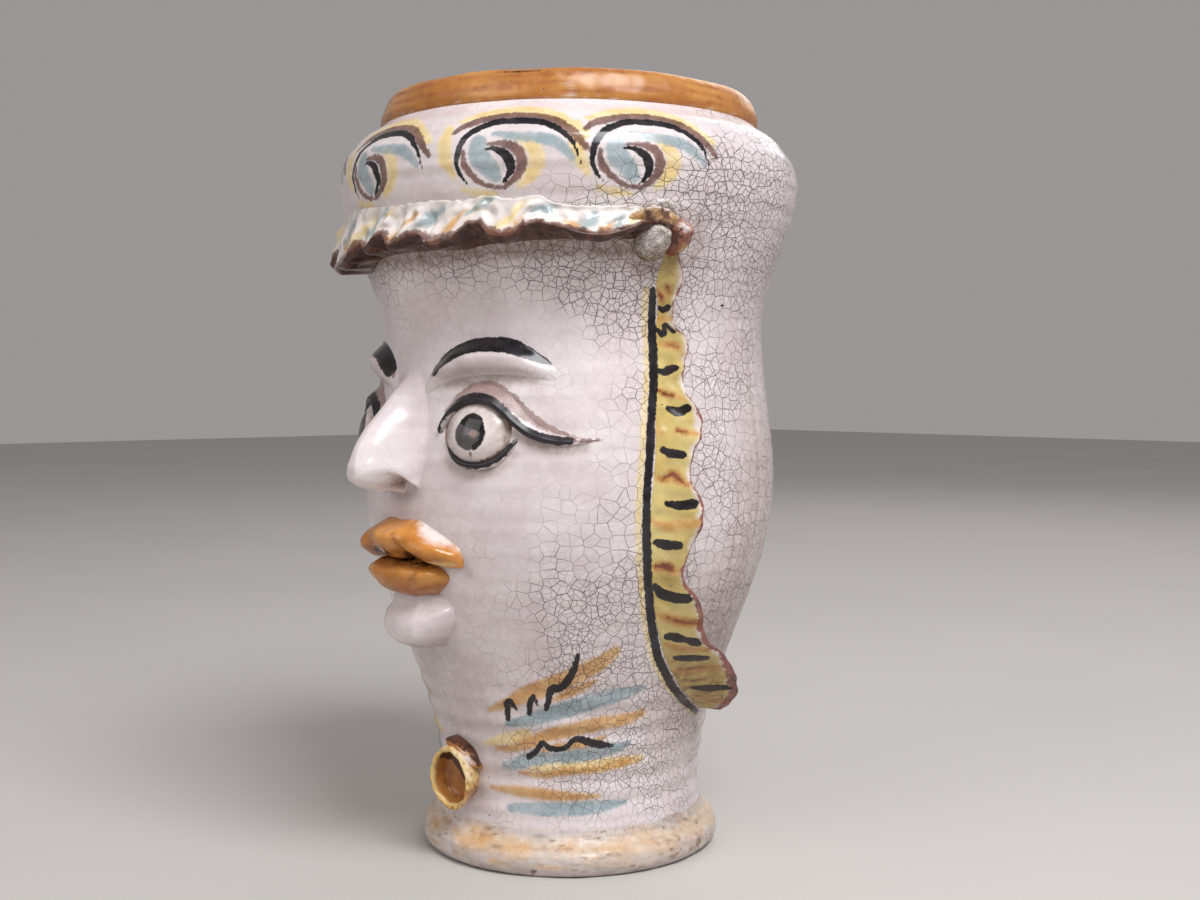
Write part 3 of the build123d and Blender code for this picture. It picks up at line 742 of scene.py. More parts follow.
def crackAt(azimuth, z):
    aside = np.clip(np.abs(azimuth), 0, 179.9)
    z = np.clip(z, crackHeights[0], crackHeights[-1] - 0.01)
    column = np.searchsorted(crackAzimuths, aside, side="right") - 1
    row = np.searchsorted(crackHeights, z, side="right") - 1
    a, b = np.array(crackAzimuths, float), np.array(crackHeights, float)
    s = (aside - a[column]) / (a[column + 1] - a[column])
    t = (z - b[row]) / (b[row + 1] - b[row])
    table = crackStrengths
    low = table[row, column] * (1 - s) + table[row, column + 1] * s
    high = table[row + 1, column] * (1 - s) + table[row + 1, column + 1] * s
    return low * (1 - t) + high * t


# Darkens near the given strokes: dirt with painted shade in creases and under raised pieces
def dirtAndShadeAt(azimuth, z, strokes, spread=2.6, strength=0.6):
    field = wallField(azimuth, z, strokes)
    return strength * np.exp(-((np.minimum(field, 0) / spread) ** 2))


# Paints everything that lies on the pot's own outside
def paintWall(piece, azimuth, z, outside, groups, dirtAndShade):
    for kind in allPaints:
        strokes = [stroke for group in groups for stroke in group.get(kind, [])]
        if strokes:
            field = np.full(len(z), -noPaint)
            field[outside] = wallField(azimuth[outside], z[outside], strokes)
            layPaint(piece, kind, field)
    mark(piece, "crack", np.where(outside, crackAt(azimuth, z), 0.75))
    mark(piece, "dirtAndShade", np.where(outside, dirtAndShade, 0.05))


# Turns evenly spun columns so that they crowd round the face and thin out behind
def crowdColumns(piece, evenness):
    x, y, z = (coordinates(piece) / mm).T
    share = np.arctan2(x, -y) / pi
    azimuth = 180 * (evenness * share + (1 - evenness) * share**3)
    return azimuth, np.hypot(x, y), z


# Where the points of a turned piece lie: millimetres, distance from the axis, and azimuth
def turnedPlaces(piece):
    x, y, z = (coordinates(piece) / mm).T
    return x, y, z, np.hypot(x, y), np.degrees(np.arctan2(x, -y))


# Head wall and crown wall: thrown rings with hand marks outside and faint unevenness inside
headWallShape = {"turns": 396, "innerRows": 30, "evenness": 0.72,
    "crowdedRows": [(21, 0.9), (44, 1.35), (125, 1.55), (132, 2.1), (208, 2.1), (216, 1.35), (290, 1.45), (300, 2.2),
        (342, 2.2)]}
crownWallShape = {"turns": 480, "innerRows": 14, "evenness": 0.85,
    "crowdedRows": [(seamHeight, 0.85), (topHeight, 0.85)]}


def outsideRows(bottom, top, spacing):
    heights = [bottom]
    knots, gaps = np.array(spacing, float).T
    while heights[-1] < top - 0.4:
        heights.append(heights[-1] + float(np.interp(heights[-1], knots, gaps)))
    heights = np.array(heights)
    return bottom + (heights - bottom) * (top - bottom) / (heights[-1] - bottom)


def throwWall(name, bottom, top, shape):
    insideHeights = np.linspace(top, bottom, shape["innerRows"])
    inner = outsideRows(bottom, top, shape["crowdedRows"])[1:-1]
    outsideHeights = [bottom, bottom + 0.1, *inner, top - 0.1, top]
    outline = [(wallRadius(z), z) for z in outsideHeights]
    outline += [(wallRadius(z) - wallThickness, z) for z in insideHeights]
    piece = newThrown(name, outline, shape["turns"])
    azimuth, radius, z = crowdColumns(piece, shape["evenness"])
    outside = radius > wallRadius(z) - wallThickness / 2
    turn = np.radians(azimuth)
    grooves = 0.5 * np.sin(2 * pi * z / 14 + 0.02 * azimuth) * ease(z, 24, 40) * (1 - ease(z, 396, 404))
    radius = np.where(outside, radius + wallRelief(azimuth, z), radius + grooves)
    moveTo(piece, np.stack([radius * np.sin(turn), -radius * np.cos(turn), z], -1))
    mapGlaze(piece, azimuth, np.where(outside, alongWall(z), alongWall(z) + 600))
    return piece, azimuth, z, outside


headWall, azimuth, z, outside = throwWall("headWall", footTop, seamHeight, headWallShape)
sides = [{kind: bothSides(strokes) for kind, strokes in group.items()} for group in (neckPaint, cheekPaint, eyePaint)]
# Dirt with painted shade on the head wall: in the creases, under the frill and just above the foot
dirtAndShade = np.maximum(dirtAndShadeAt(azimuth, z, bothSides(dirtAndShadeStrokes), 2.2, 0.45), dirtAndShadeAt(azimuth, z, frillShade, 4, 0.6))
dirtAndShade = np.maximum(dirtAndShade, dirtAndShadeAt(azimuth, z, bothSides(faintDirtAndShade), 2.6, 0.3))
dirtAndShade = np.maximum(dirtAndShade, 0.16 * (1 - ease(z, footTop, 26)))
aside = np.abs(azimuth)
smeared = 0.5 + 0.5 * lumps(azimuth * 2.4, 0, z * 0.12, 12, 92)
# Painted shade with some dirt: darker down the sides away from the face, on the neck under the chin, in a painted
# shadow below the chin and low on the sides
dirtAndShade = dirtAndShade + (0.15 + 0.2 * smeared) * ease(aside, 90, 108) * (1 - 0.6 * ease(aside, 140, 160)) * hump(z, 215, 85)
dirtAndShade = dirtAndShade + (0.16 + 0.06 * smeared) * (1 - ease(aside, 14, 34)) * hump(z, 86, 36)
dirtAndShade = dirtAndShade + 0.12 * hump(z, 114, 9) * (1 - ease(aside, 8, 20)) + 0.46 * ease(aside, 74, 98) * hump(z, 112, 52)
paintWall(headWall, azimuth, z, outside, sides, dirtAndShade)
finishPiece(headWall, whiteGlaze, "white_glaze", "face_wall")
stage("head wall thrown")

crownWall, azimuth, z, outside = throwWall("crownWall", seamHeight, topHeight, crownWallShape)
crownPaint = {kind: scrollStrokes(kind) for kind in ("black", "brown", "blue", "yellow")}
# Dirt with painted shade on the crown, darker up under the rim bead
dirtAndShade = dirtAndShadeAt(azimuth, z, bothSides(faintDirtAndShade), 2.6, 0.3)
paintWall(crownWall, azimuth, z, outside, [crownPaint], np.maximum(dirtAndShade, 0.3 * ease(z, 403, topHeight)))
finishPiece(crownWall, whiteGlaze, "white_glaze", "crown_wall")
stage("crown wall thrown")


# Clay pressed on the wall: a sheet whose shape gives azimuth, height and reach out of the wall
def pressSheet(name, columns, rows, shape, depth=clayDepth):
    piece, u, v, front = newSheet(name, columns, rows)
    azimuth, z, reach = shape(u, v)
    moveTo(piece, wallPoint(azimuth, z, np.where(front, reach, -depth)))
    mapGlaze(piece, azimuth, alongWall(z))
    return piece, azimuth, z, reach


# The stations of a band given from the middle of the face outwards, filled in on the other side
def wholeBand(half):
    return [(-turn, *rest) for turn, *rest in half[:0:-1]] + half


# A band across the face. Its stations are azimuth, then bottom, crest and top height, then reach.
# Its slopes above and below the crest say how much of the reach is left.
def bandShape(stations, over, under, sunk=-0.2, lumpy=0.0, seed=11):
    stations = np.array(stations, float)
    places = stations[:, 0]

    def shape(u, v):
        azimuth = places[0] + (places[-1] - places[0]) * (u + 1) / 2
        bottom, crest, top, reach = curves(places, stations.T[1:], azimuth)
        v = np.sign(v) * np.abs(v) ** 0.8
        z = np.where(v > 0, crest + (top - crest) * v, crest + (crest - bottom) * v)
        fall = np.where(v > 0, curve(over, np.abs(v)), curve(under, np.abs(v)))
        height = reach * fall + sunk
        turn = np.radians(azimuth)
        height = height + lumpy * fall * lumps(reliefRadius * np.sin(turn), -reliefRadius * np.cos(turn), z, 14, seed)
        return azimuth, z, height

    return shape


# A roll along a course. Its stations are azimuth, height, half width above and below, and reach.
def rollShape(stations, over, under, sunk=-0.35, lumpy=0.0, seed=21):
    stations = np.array(stations, float)
    middle = stations[:, 0].mean()
    across = wallRadius(stations[:, 1].mean())
    course = np.stack([np.radians(stations[:, 0] - middle) * across, stations[:, 1]], -1)
    path = smoothPath(course, 12)
    lengths = runLength(path)
    places = lengths[::12] / lengths[-1]
    ways = np.gradient(path, lengths / lengths[-1], axis=0)
    ways /= np.hypot(*ways.T)[:, None]

    def shape(u, v):
        share = (u + 1) / 2
        x, y = (np.interp(share, lengths / lengths[-1], path[:, axis]) for axis in (0, 1))
        wayX, wayY = (np.interp(share, lengths / lengths[-1], ways[:, axis]) for axis in (0, 1))
        above, below, reach = curves(places, stations.T[2:], share)
        width = np.where(v > 0, above, below) * v
        fall = np.where(v > 0, (1 - np.abs(v) ** over[0]) ** over[1], (1 - np.abs(v) ** under[0]) ** under[1])
        x, y = x - wayY * width, y + wayX * width
        azimuth = middle + np.degrees(x / across)
        height = reach * fall + sunk
        height = height + lumpy * fall * lumps(x, 0, y, 12, seed)
        return azimuth, y, height

    return shape


# Paint, crackle, and dirt with painted shade on a piece that is laid out by azimuth and height
def paintPressed(piece, azimuth, z, groups=(), dirtAndShade=0.0, crack=None, lessCrack=1.0):
    for kind in paints:
        strokes = [stroke for group in groups for stroke in group.get(kind, [])]
        if strokes:
            layPaint(piece, kind, wallField(azimuth, z, strokes))
    mark(piece, "crack", (crackAt(azimuth, z) if crack is None else crack) * lessCrack)
    mark(piece, "dirtAndShade", dirtAndShade)


# Nose: crest and half width by height, from the base up to the root
noseForm = {
    "crest": [(200, 0), (204, 0), (205.3, 5), (206.2, 13), (207.3, 21), (209.5, 27), (213, 30.5), (218, 31.2),
        (224, 30), (230, 28), (237.5, 23.5), (244, 18), (250, 13), (256, 8.5), (262, 3.8), (268, 0.8), (274, 0)],
    "halfWidth": [(200, 13.5), (206, 15.6), (212, 17.6), (220, 20.4), (230, 22), (240, 21.5), (250, 19.5),
        (260, 16.5), (274, 13)],
    "share": [(200, 2.2), (212, 2.1), (222, 1.75), (240, 1.5), (274, 1.45)],
    "fall": [(200, 1.05), (207, 1.2), (214, 2.0), (226, 3.0), (240, 3.2), (274, 3.0)],
    "rows": [(-1, 201), (-0.93, 203.2), (-0.3, 208.5), (0, 213), (1, 275)],
    "halfAngle": 12.0,
    "radius": 116,
    "nostril": (10.2, 4.4),
}


def noseShape(u, v):
    azimuth = noseForm["halfAngle"] * (0.7 * u + 0.3 * u**3)
    z = curve(noseForm["rows"], v)
    across = np.radians(azimuth) * noseForm["radius"]
    soft = 2.2 + 2.6 * hump(z, 213, 7)
    aside = np.sqrt(across**2 + soft**2) - soft
    middle, spread = noseForm["nostril"]
    nostril = 7.6 * np.exp(-(((np.abs(across) - middle) / spread) ** 2))
    nostril = nostril - 1.4 * np.exp(-(((np.abs(across) - 16) / 2.6) ** 2))
    level = z - nostril * (1 - ease(z, 214, 228))
    crest = curve(noseForm["crest"], level)
    crest = crest - wallRelief(0, z) * ease(crest, 0, 5)
    share = np.clip(aside / (curve(noseForm["halfWidth"], z) - soft), 0, 1)
    reach = crest * (1 - share ** curve(noseForm["share"], z)) ** curve(noseForm["fall"], z)
    reach = reach + 0.5 * ease(reach, 1, 8) * lumps(across, reach, z, 26, 31)
    return azimuth, z, reach - 0.07 - 0.4 * ease(share, 0.97, 1)


nose, azimuth, z, reach = pressSheet("noseClay", 110, 150, noseShape)
# Inside the nostrils and under the nose: painted shade with dirt; a faint darker band near the root
middle, spread = noseForm["nostril"]
arch = 207 + 7.2 * np.exp(-(((np.abs(azimuth) * 2.04 - middle) / spread) ** 2))
under = (1 - ease(z, arch - 1.6, arch + 0.6)) * ease(np.abs(azimuth), 1.6, 3.2)
under = under * (1 - ease(np.abs(azimuth), 7.4, 8.8))
paintPressed(nose, azimuth, z, dirtAndShade=0.8 * under * ease(reach, -0.2, 2) + 0.12 * hump(z, 262, 5) * (reach > 0),
    lessCrack=0.55)
finishPiece(nose, whiteGlaze, "white_glaze", "nose")

# Chin: a shelf that juts out and rolls under
chinBand = wholeBand([
    (0, 120.2, 129.0, 163.5, 21.2), (5.5, 121.4, 130.6, 161.5, 19.8), (9.0, 126.6, 134.8, 153.6, 15.0),
    (11.4, 131.2, 138.6, 150.6, 9.6), (13.2, 135.6, 141.4, 148.2, 4.0), (14.4, 138.8, 142.6, 146.2, 0),
])
chinSlope = {
    "over": [(0, 1), (0.12, 0.965), (0.24, 0.87), (0.36, 0.70), (0.48, 0.52), (0.66, 0.35), (0.84, 0.22), (1, 0)],
    "under": [(0, 1), (0.25, 0.985), (0.5, 0.91), (0.72, 0.74), (0.88, 0.5), (1, 0)],
}
chin, azimuth, z, reach = pressSheet("chinClay", 130, 110,
    bandShape(chinBand, chinSlope["over"], chinSlope["under"], lumpy=0.35, seed=12))
# Painted shadow along the underside of the chin, and painted shade where it meets the lower lip
paintPressed(chin, azimuth, z,
    dirtAndShade=0.42 * (1 - ease(z - 0.9 * np.abs(azimuth) * 0.6, 119, 126)) + 0.16 * ease(z, 150, 158), lessCrack=0.6)
finishPiece(chin, whiteGlaze, "white_glaze", "chin")

# Lips: glossy rolls that meet along a dark line
upperBand = wholeBand([
    (0, 168.8, 178.6, 190.2, 16.6), (2.2, 169.2, 179.4, 190.6, 16.2), (4.6, 170.6, 180.2, 190.9, 14.8),
    (7.0, 171.4, 179.4, 190.8, 13.9), (9.6, 170.2, 177.0, 189.2, 14.8), (12.4, 168.4, 174.8, 186.6, 14.2),
    (15.4, 167.2, 173.6, 183.4, 11.8), (17.8, 166.4, 172.6, 180.2, 8.8), (19.8, 166.8, 171.6, 177.4, 5.6),
    (20.7, 168.8, 171.4, 174.4, 0),
])
lowerBand = wholeBand([
    (0, 148.8, 160.6, 168.8, 18.0), (4.2, 149.0, 161.2, 170.0, 17.8), (6.8, 150.0, 162.2, 170.6, 16.4),
    (9.2, 151.4, 162.6, 169.4, 15.2), (11.6, 153.8, 162.4, 167.4, 12.0), (13.4, 156.6, 162.0, 165.8, 7.8),
    (14.5, 158.8, 161.4, 164.0, 4.0), (15.2, 160.2, 161.2, 162.2, 0),
])
lipSlope = {
    "upperOver": [(0, 1), (0.14, 0.99), (0.3, 0.94), (0.46, 0.815), (0.62, 0.59), (0.77, 0.32), (0.89, 0.12), (1, 0)],
    "upperUnder": [(0, 1), (0.15, 0.975), (0.35, 0.87), (0.55, 0.76), (0.75, 0.64), (0.9, 0.46), (1, 0)],
    "lowerOver": [(0, 1), (0.25, 0.965), (0.5, 0.85), (0.75, 0.62), (0.92, 0.36), (1, 0)],
    "lowerUnder": [(0, 1), (0.25, 0.975), (0.5, 0.87), (0.75, 0.66), (0.92, 0.4), (1, 0)],
}
# Darker strokes on the lips, in the notch, along the mouth line, under the upper lip, in the hollows and under the
# lower lip, are painted shade; the yellow strokes are paint
lipDark = {
    "rust": [
        ([1.2, 2.2, 1.0], [(-1.6, 178.0), (0, 176.4), (1.6, 178.0)]),
        ([0.8, 1.4, 0.8], [(-8.0, 152.2), (0, 150.6), (8.0, 152.2)]),
        ([0.6, 1.4, 1.6, 1.4, 0.6], [(-12.0, 166.4), (-6.0, 167.6), (0, 168.0), (6.0, 167.6), (12.0, 166.4)]),
        ([1.6, 3.8, 3.8, 2.2], [(-13.4, 156.6), (-5.0, 152.0), (5.0, 152.0), (13.4, 156.6)]),
    ] + bothSides([
        ([0.8, 1.6, 1.4, 0.6], [(8.6, 172.6), (11.4, 174.6), (14.0, 173.0), (16.4, 170.6)]),
        ([0.7, 1.3, 0.7], [(6.4, 157.6), (8.4, 160.0), (10.0, 163.0)]),
        ([1.0, 2.0, 1.2], [(4.2, 184.0), (5.8, 179.6), (6.8, 175.0)]),
        ([1.2, 2.6, 2.6, 1.2], [(1.0, 175.0), (5.6, 173.6), (9.6, 172.8), (14.0, 171.4)]),
        ([1.0, 2.2, 1.0], [(5.8, 155.6), (8.2, 158.6), (9.8, 163.6)]),
    ]),
    "umber": [
        ([0.3, 0.6, 0.8, 0.8, 0.6, 0.3],
            [(-18.0, 166.6), (-9.0, 168.4), (-4.0, 169.6), (4.0, 169.6), (9.0, 168.4), (18.0, 166.6)]),
        ([0.6, 1.4, 0.6], [(-0.9, 172.6), (0, 174.2), (0.9, 172.6)]),
    ] + bothSides([
        ([0.4, 1.3, 0.6], [(4.4, 171.6), (6.8, 174.0), (9.0, 171.8)]),
    ]),
    "yellow": [
        ([0.5, 1.1, 0.6], [(12.4, 170.0), (15.8, 169.4), (19.0, 169.6)]),
    ] + bothSides([
        ([0.4, 1.0, 0.5], [(8.0, 153.0), (11.0, 154.2), (13.4, 157.0)]),
    ]),
}
for name, node, band, over, under, seed in (
    ("upperLip", "upper_lip", upperBand, lipSlope["upperOver"], lipSlope["upperUnder"], 13),
    ("lowerLip", "lower_lip", lowerBand, lipSlope["lowerOver"], lipSlope["lowerUnder"], 14),
):
    lip, azimuth, z, reach = pressSheet(name, 190, 90, bandShape(band, over, under, lumpy=0.5, seed=seed))
    # Darker where each lip meets the wall: painted shade
    paintPressed(lip, azimuth, z, [lipDark], crack=0.04, dirtAndShade=0.12 * (1 - ease(reach, 0, 1.5)))
    if name == "upperLip":
        topLine = curve([(turn, top) for turn, bottom, crest, top, out in band], azimuth)
        layPaint(lip, "white",
            0.55 * (z - topLine + 6.6 * ease(np.abs(azimuth), 4.5, 13) * (1 - 0.6 * ease(np.abs(azimuth), 14, 19))
                - 2.4 + 1.2 * lumps(azimuth * 2, z, 0, 6, 18)))
    finishPiece(lip, ochreGlaze, "ochre_glaze", node)
stage("nose, chin and lips pressed on")

# Brows: a ridge of clay with a black stroke on its upper slope
browRoll = [
    (6.5, 257, 3.0, 3.0, 0), (9.0, 261.5, 6.0, 4.5, 2.4), (13.0, 267.5, 8.0, 6.5, 5.4), (18.0, 272.0, 9.6, 8.0, 7.4),
    (24.0, 274.8, 10.6, 9.4, 8.0), (30.0, 274.8, 10.8, 9.2, 7.4), (36.0, 272.2, 9.6, 7.2, 5.4),
    (41.5, 268.6, 7.2, 5.0, 2.8), (47.0, 264.0, 4.0, 3.0, 0),
]
browPaint = {
    "black": eyePaint["black"],
    "rose": [([0.8, 1.6, 1.2], [(9.0, 265.4), (10.0, 269.0), (12.2, 273.4)])],
}
brow, azimuth, z, reach = pressSheet("browLeft", 130, 60,
    rollShape(browRoll, (1.7, 1.5), (2.2, 0.95), lumpy=0.3, seed=15))
# Darker on the lower slope of the ridge: painted shade
paintPressed(brow, azimuth, z, [browPaint], lessCrack=1.2, dirtAndShade=0.26 * hump(z, 268, 6) * ease(reach, 1, 4))
finishPiece(brow, whiteGlaze, "brown_glaze", "brow_left")
finishPiece(mirroredCopy(brow, "browRight"), whiteGlaze, "brown_glaze", "brow_right")

# Eyes: a domed ball, a coil over it with a painted slope above, and a thin coil under it
eyeForm = {"azimuth": 25.0, "height": 236.0, "ball": 24.0, "reach": 7.2, "halfAngle": 10.6, "halfHeight": 18.5,
    "slimness": 0.93}
eyeCreases = [
    ([0.3, 0.7, 0.3], [(24.8, 228.4), (25.1, 226.6), (24.9, 223.4)]),
    ([0.8, 1.6, 1.0], [(15.2, 243.0), (15.8, 237.0), (17.2, 231.0)]),
    ([1.2, 1.8, 1.0], [(34.6, 240.5), (36.0, 237.0), (36.6, 233.0)]),
    ([0.5, 0.8, 0.5], [(27.5, 222.6), (30.5, 225.0), (33.0, 228.6)]),
]
iris = {"azimuth": 24.6, "height": 236.4, "radius": 8.0}


def eyeShape(u, v):
    azimuth = eyeForm["azimuth"] + eyeForm["halfAngle"] * u
    z = eyeForm["height"] + eyeForm["halfHeight"] * v
    across = np.radians(azimuth - eyeForm["azimuth"]) * wallRadius(eyeForm["height"])
    apart = np.hypot(across * eyeForm["slimness"], z - eyeForm["height"])
    ball = eyeForm["ball"]
    dome = np.sqrt(np.clip(ball**2 - apart**2, 1, None)) - (ball - eyeForm["reach"])
    return azimuth, z, np.maximum(dome - wallRelief(azimuth, z) * 0.6, -2.5)


eyeball, azimuth, z, reach = pressSheet("eyeballLeft", 110, 100, eyeShape, depth=5)
across = np.radians(azimuth - iris["azimuth"]) * wallRadius(eyeForm["height"])
apart = np.hypot(across, (z - iris["height"]) * 0.96)
layPaint(eyeball, "slate", iris["radius"] - apart)
capped = np.minimum(6.7 - np.hypot(across - 0.8, z - 240.0), z - 239.2 + 0.35 * across)
layPaint(eyeball, "black", np.maximum(capped, np.minimum(1.3 - np.abs(apart - 7.2), across - 2.0)))
layPaint(eyeball, "rose", 2.1 - np.hypot(across - 2.4, z - iris["height"]))
# Brown in the creases round the ball: dirt with painted shade
layPaint(eyeball, "brown", wallField(azimuth, z, eyeCreases))
mark(eyeball, "crack", 0.12)
# Darker toward the edge of the ball and at its inner corner, where the lids meet it: painted shade with dirt
rimmed = np.hypot(across * eyeForm["slimness"], z - eyeForm["height"])
dirtAndShade = 0.06 + 0.26 * ease(rimmed, 8, 13) * (0.6 + 0.4 * lumps(across, z, 0, 4, 19))
mark(eyeball, "dirtAndShade", dirtAndShade + 0.45 * ease(rimmed, 13.5, 17) + 0.3 * hump(across, -15, 4))
finishPiece(eyeball, eyeGlaze, "white_glaze", "eyeball_left")
finishPiece(mirroredCopy(eyeball, "eyeballRight"), eyeGlaze, "white_glaze", "eyeball_right")

upperLid = [
    (13.6, 235.4, 1.5, 1.5, 0), (13.9, 238.4, 2.6, 1.8, 3.6), (16.8, 246.6, 4.4, 2.6, 6.0),
    (20.2, 251.6, 6.6, 3.0, 7.2), (24.6, 254.0, 8.4, 3.2, 7.6), (29.0, 252.2, 8.6, 3.2, 7.2),
    (32.7, 247.4, 8.2, 3.0, 6.4), (35.9, 241.8, 7.2, 2.8, 5.4), (39.7, 236.8, 6.0, 2.8, 4.4),
    (45.2, 233.3, 4.2, 2.6, 3.4), (50.1, 232.9, 2.8, 2.4, 2.4), (54.5, 233.2, 1.8, 1.6, 0.9),
    (58.0, 233.8, 1.0, 1.0, 0),
]
lidLine = [(13.8, 237.4), (14.6, 242.0), (16.8, 246.9), (20.2, 251.8), (24.6, 254.1), (29.0, 252.3), (32.7, 247.4),
    (35.9, 241.6), (39.7, 236.7), (45.2, 233.3), (49.6, 232.9)]
lidPaint = {
    "black": [([1.3, 1.9, 2.6, 3.0, 3.1, 2.8, 2.6, 2.5, 2.4, 2.3, 2.0], lidLine)],
    "rose": eyePaint["rose"], "brown": eyePaint["brown"],
}
lid, azimuth, z, reach = pressSheet("upperLidLeft", 190, 44,
    rollShape(upperLid, (1.15, 1.25), (2.4, 0.6), lumpy=0.2, seed=16))
# Darker where the lid meets the wall: painted shade
paintPressed(lid, azimuth, z, [lidPaint], lessCrack=0.8, dirtAndShade=0.2 * (1 - ease(reach, 0.2, 1.8)))
finishPiece(lid, lidGlaze, "brown_glaze", "upper_lid_left")
finishPiece(mirroredCopy(lid, "upperLidRight"), lidGlaze, "brown_glaze", "upper_lid_right")

lowerLid = [
    (16.8, 233.0, 1.0, 1.2, 0), (17.4, 230.6, 2.0, 2.2, 2.8), (19.2, 225.4, 2.4, 2.8, 4.6),
    (22.0, 221.6, 2.6, 3.0, 5.2), (25.4, 220.3, 2.6, 3.0, 5.2), (29.0, 221.2, 2.6, 2.8, 4.8),
    (32.4, 225.2, 2.4, 2.4, 4.0), (34.8, 230.4, 1.9, 2.0, 2.8), (36.2, 234.4, 1.0, 1.2, 0),
]
lowerPaint = {
    "black": [([1.4, 2.2, 2.6, 2.6, 2.4, 2.2, 1.8, 0.9],
            [(17.6, 230.2), (19.2, 226.0), (22.0, 222.3), (25.4, 221.0), (29.0, 221.9), (32.2, 225.6), (34.6, 230.2),
             (36.4, 233.4)])],
    "brown": [([0.5, 0.8, 0.5], [(19.0, 221.6), (25.0, 216.9), (31.5, 219.6)])],
}
lid, azimuth, z, reach = pressSheet("lowerLidLeft", 130, 30,
    rollShape(lowerLid, (2.2, 0.6), (1.9, 0.8), lumpy=0.15, seed=17))
# Darker where the lid meets the wall: painted shade
paintPressed(lid, azimuth, z, [lowerPaint], lessCrack=0.8, dirtAndShade=0.25 * (1 - ease(reach, 0.2, 1.2)))
finishPiece(lid, whiteGlaze, "brown_glaze", "lower_lid_left")
finishPiece(mirroredCopy(lid, "lowerLidRight"), whiteGlaze, "brown_glaze", "lower_lid_right")
stage("brows and eyes pressed on")

# Hat frill: a strip pressed on round the brim, pinched into folds, glazed brown underneath
frillForm = {
    "halfAngle": 71.5,
    "hemHeight": [
        (-71.5, 344), (-69, 342), (-65, 338.5), (-61, 334), (-57, 337.5), (-52.5, 333), (-48, 331.5), (-44, 337.5),
        (-39.5, 331), (-35.5, 330), (-32, 334.5), (-27, 326.5), (-20, 324.6), (-14, 326), (-9.6, 330.6), (-7, 334.6),
        (-4, 332.4), (-1, 334.6), (2.6, 338), (5, 336), (7.9, 331.2), (9.7, 332), (12, 334.8), (14.5, 336.2),
        (16.6, 334.8), (18.2, 330.9), (20.5, 330.6), (23.2, 332.2), (25.6, 336.4), (28, 339.9), (30.2, 339.8),
        (31.8, 336.4), (33.4, 333.8), (36, 333.3), (38.4, 334.8), (40.4, 338.8), (43, 339.4), (46.2, 338),
        (49, 336.3), (51.6, 334.5), (54.8, 333.7), (57.8, 334.3), (60.6, 336), (63.6, 338.6), (67, 341), (71.5, 344),
    ],
    "hemReach": [
        (-71.5, 2), (-68, 9), (-64, 12), (-60, 15.5), (-56.5, 12.5), (-51, 16.5), (-48, 16.5), (-44, 12),
        (-39.5, 16.5), (-35.5, 17), (-32, 13), (-27, 16), (-20, 17.5), (-14, 18), (-10, 17), (-7, 12.5), (-4, 14.5),
        (0, 14.5), (2.6, 12.5), (7.9, 18), (10, 17.2), (14.5, 13), (18.2, 18), (21, 17.6), (25.6, 14), (29, 12.2),
        (34, 17.4), (37, 17), (41.6, 13), (46, 13.6), (52, 16), (56, 15.8), (62, 13), (66, 11), (69, 8), (71.5, 2),
    ],
    "contact": [(-71.5, 338), (-60, 333), (-45, 330.5), (-32, 326), (-21, 321.5), (-11, 326.5), (-3, 328.6),
        (11, 329), (22, 328.6), (31, 330.8), (45, 332.4), (64, 333), (71.5, 338)],
    "top": [(-71.5, 347.5), (-50, 349), (-44, 353.6), (-30, 353), (-10, 354.4), (5, 352.6), (19, 353.4), (25, 352.4),
        (30, 354), (37, 352.4), (42.6, 354), (46, 350), (53, 348.4), (63, 348.6), (71.5, 347)],
    "slant": 5.5,
    "middleReach": 15.6,
    "waviness": 1.35,
    "farthest": 18.4,
    "degree": 2.1,
    "fall": -20,
}


# How far the hem stands out of the wall
def hemOut(azimuth):
    middle = frillForm["middleReach"]
    waves = frillForm["waviness"] * (curve(frillForm["hemReach"], azimuth) - middle)
    return np.minimum(middle + waves, frillForm["farthest"])


def frillShape(u, v):
    azimuth = frillForm["halfAngle"] * u
    face = np.clip((1 - v) / 1.1, 0, 1)
    turned = np.clip((-0.1 - v) / 0.3, 0, 1)
    beneath = np.clip((-0.4 - v) / 0.6, 0, 1)
    fold = azimuth - frillForm["slant"] * (1 - face) * (1 - np.abs(u) ** 4)
    hemReach = hemOut(fold)
    hemHeight = curve(frillForm["hemHeight"], azimuth)
    top = curve(frillForm["top"], azimuth) + 0.5 * lumps(azimuth, 0, 0, 3, 41)
    lip = 1.1 + 0.4 * lumps(azimuth, 5, 0, 4, 42)
    rise = 1.15 + 0.12 * np.clip(18 - hemReach, 0, 8)
    reach = lip * ease(face, 0, 0.05) + (hemReach - lip) * face**rise
    reach = reach + 1.1 * np.sin(face * pi) * lumps(azimuth * 2, 16 * face, 0, 7, 43)
    z = top + (hemHeight - top) * face
    hemReach = hemOut(azimuth)
    edge = pi * turned
    thick = 3.4 + 0.9 * lumps(azimuth * 2, 0, 0, 9, 47)
    reach = np.where(turned > 0, hemReach + 1.5 * np.sin(edge) - 1.4 * turned, reach)
    z = np.where(turned > 0, hemHeight - thick * (1 - np.cos(edge)) / 2, z)
    contact = curve(frillForm["contact"], azimuth)
    bulge = 1.2 * np.sin(beneath * pi) * lumps(azimuth * 2, 14 * beneath, 0, 7, 44)
    under = (hemReach - 1.4) * (1 - beneath**1.1) - 0.4 * beneath + bulge
    reach = np.where(beneath > 0, under, reach)
    z = np.where(beneath > 0, hemHeight - thick + (contact - hemHeight + thick) * beneath**1.3, z)
    closing = ease(1 - np.abs(u), 0, 0.02)
    return azimuth, z, np.where(v > 0.999, -0.4, reach) * closing - 0.4 * (1 - closing), top, contact


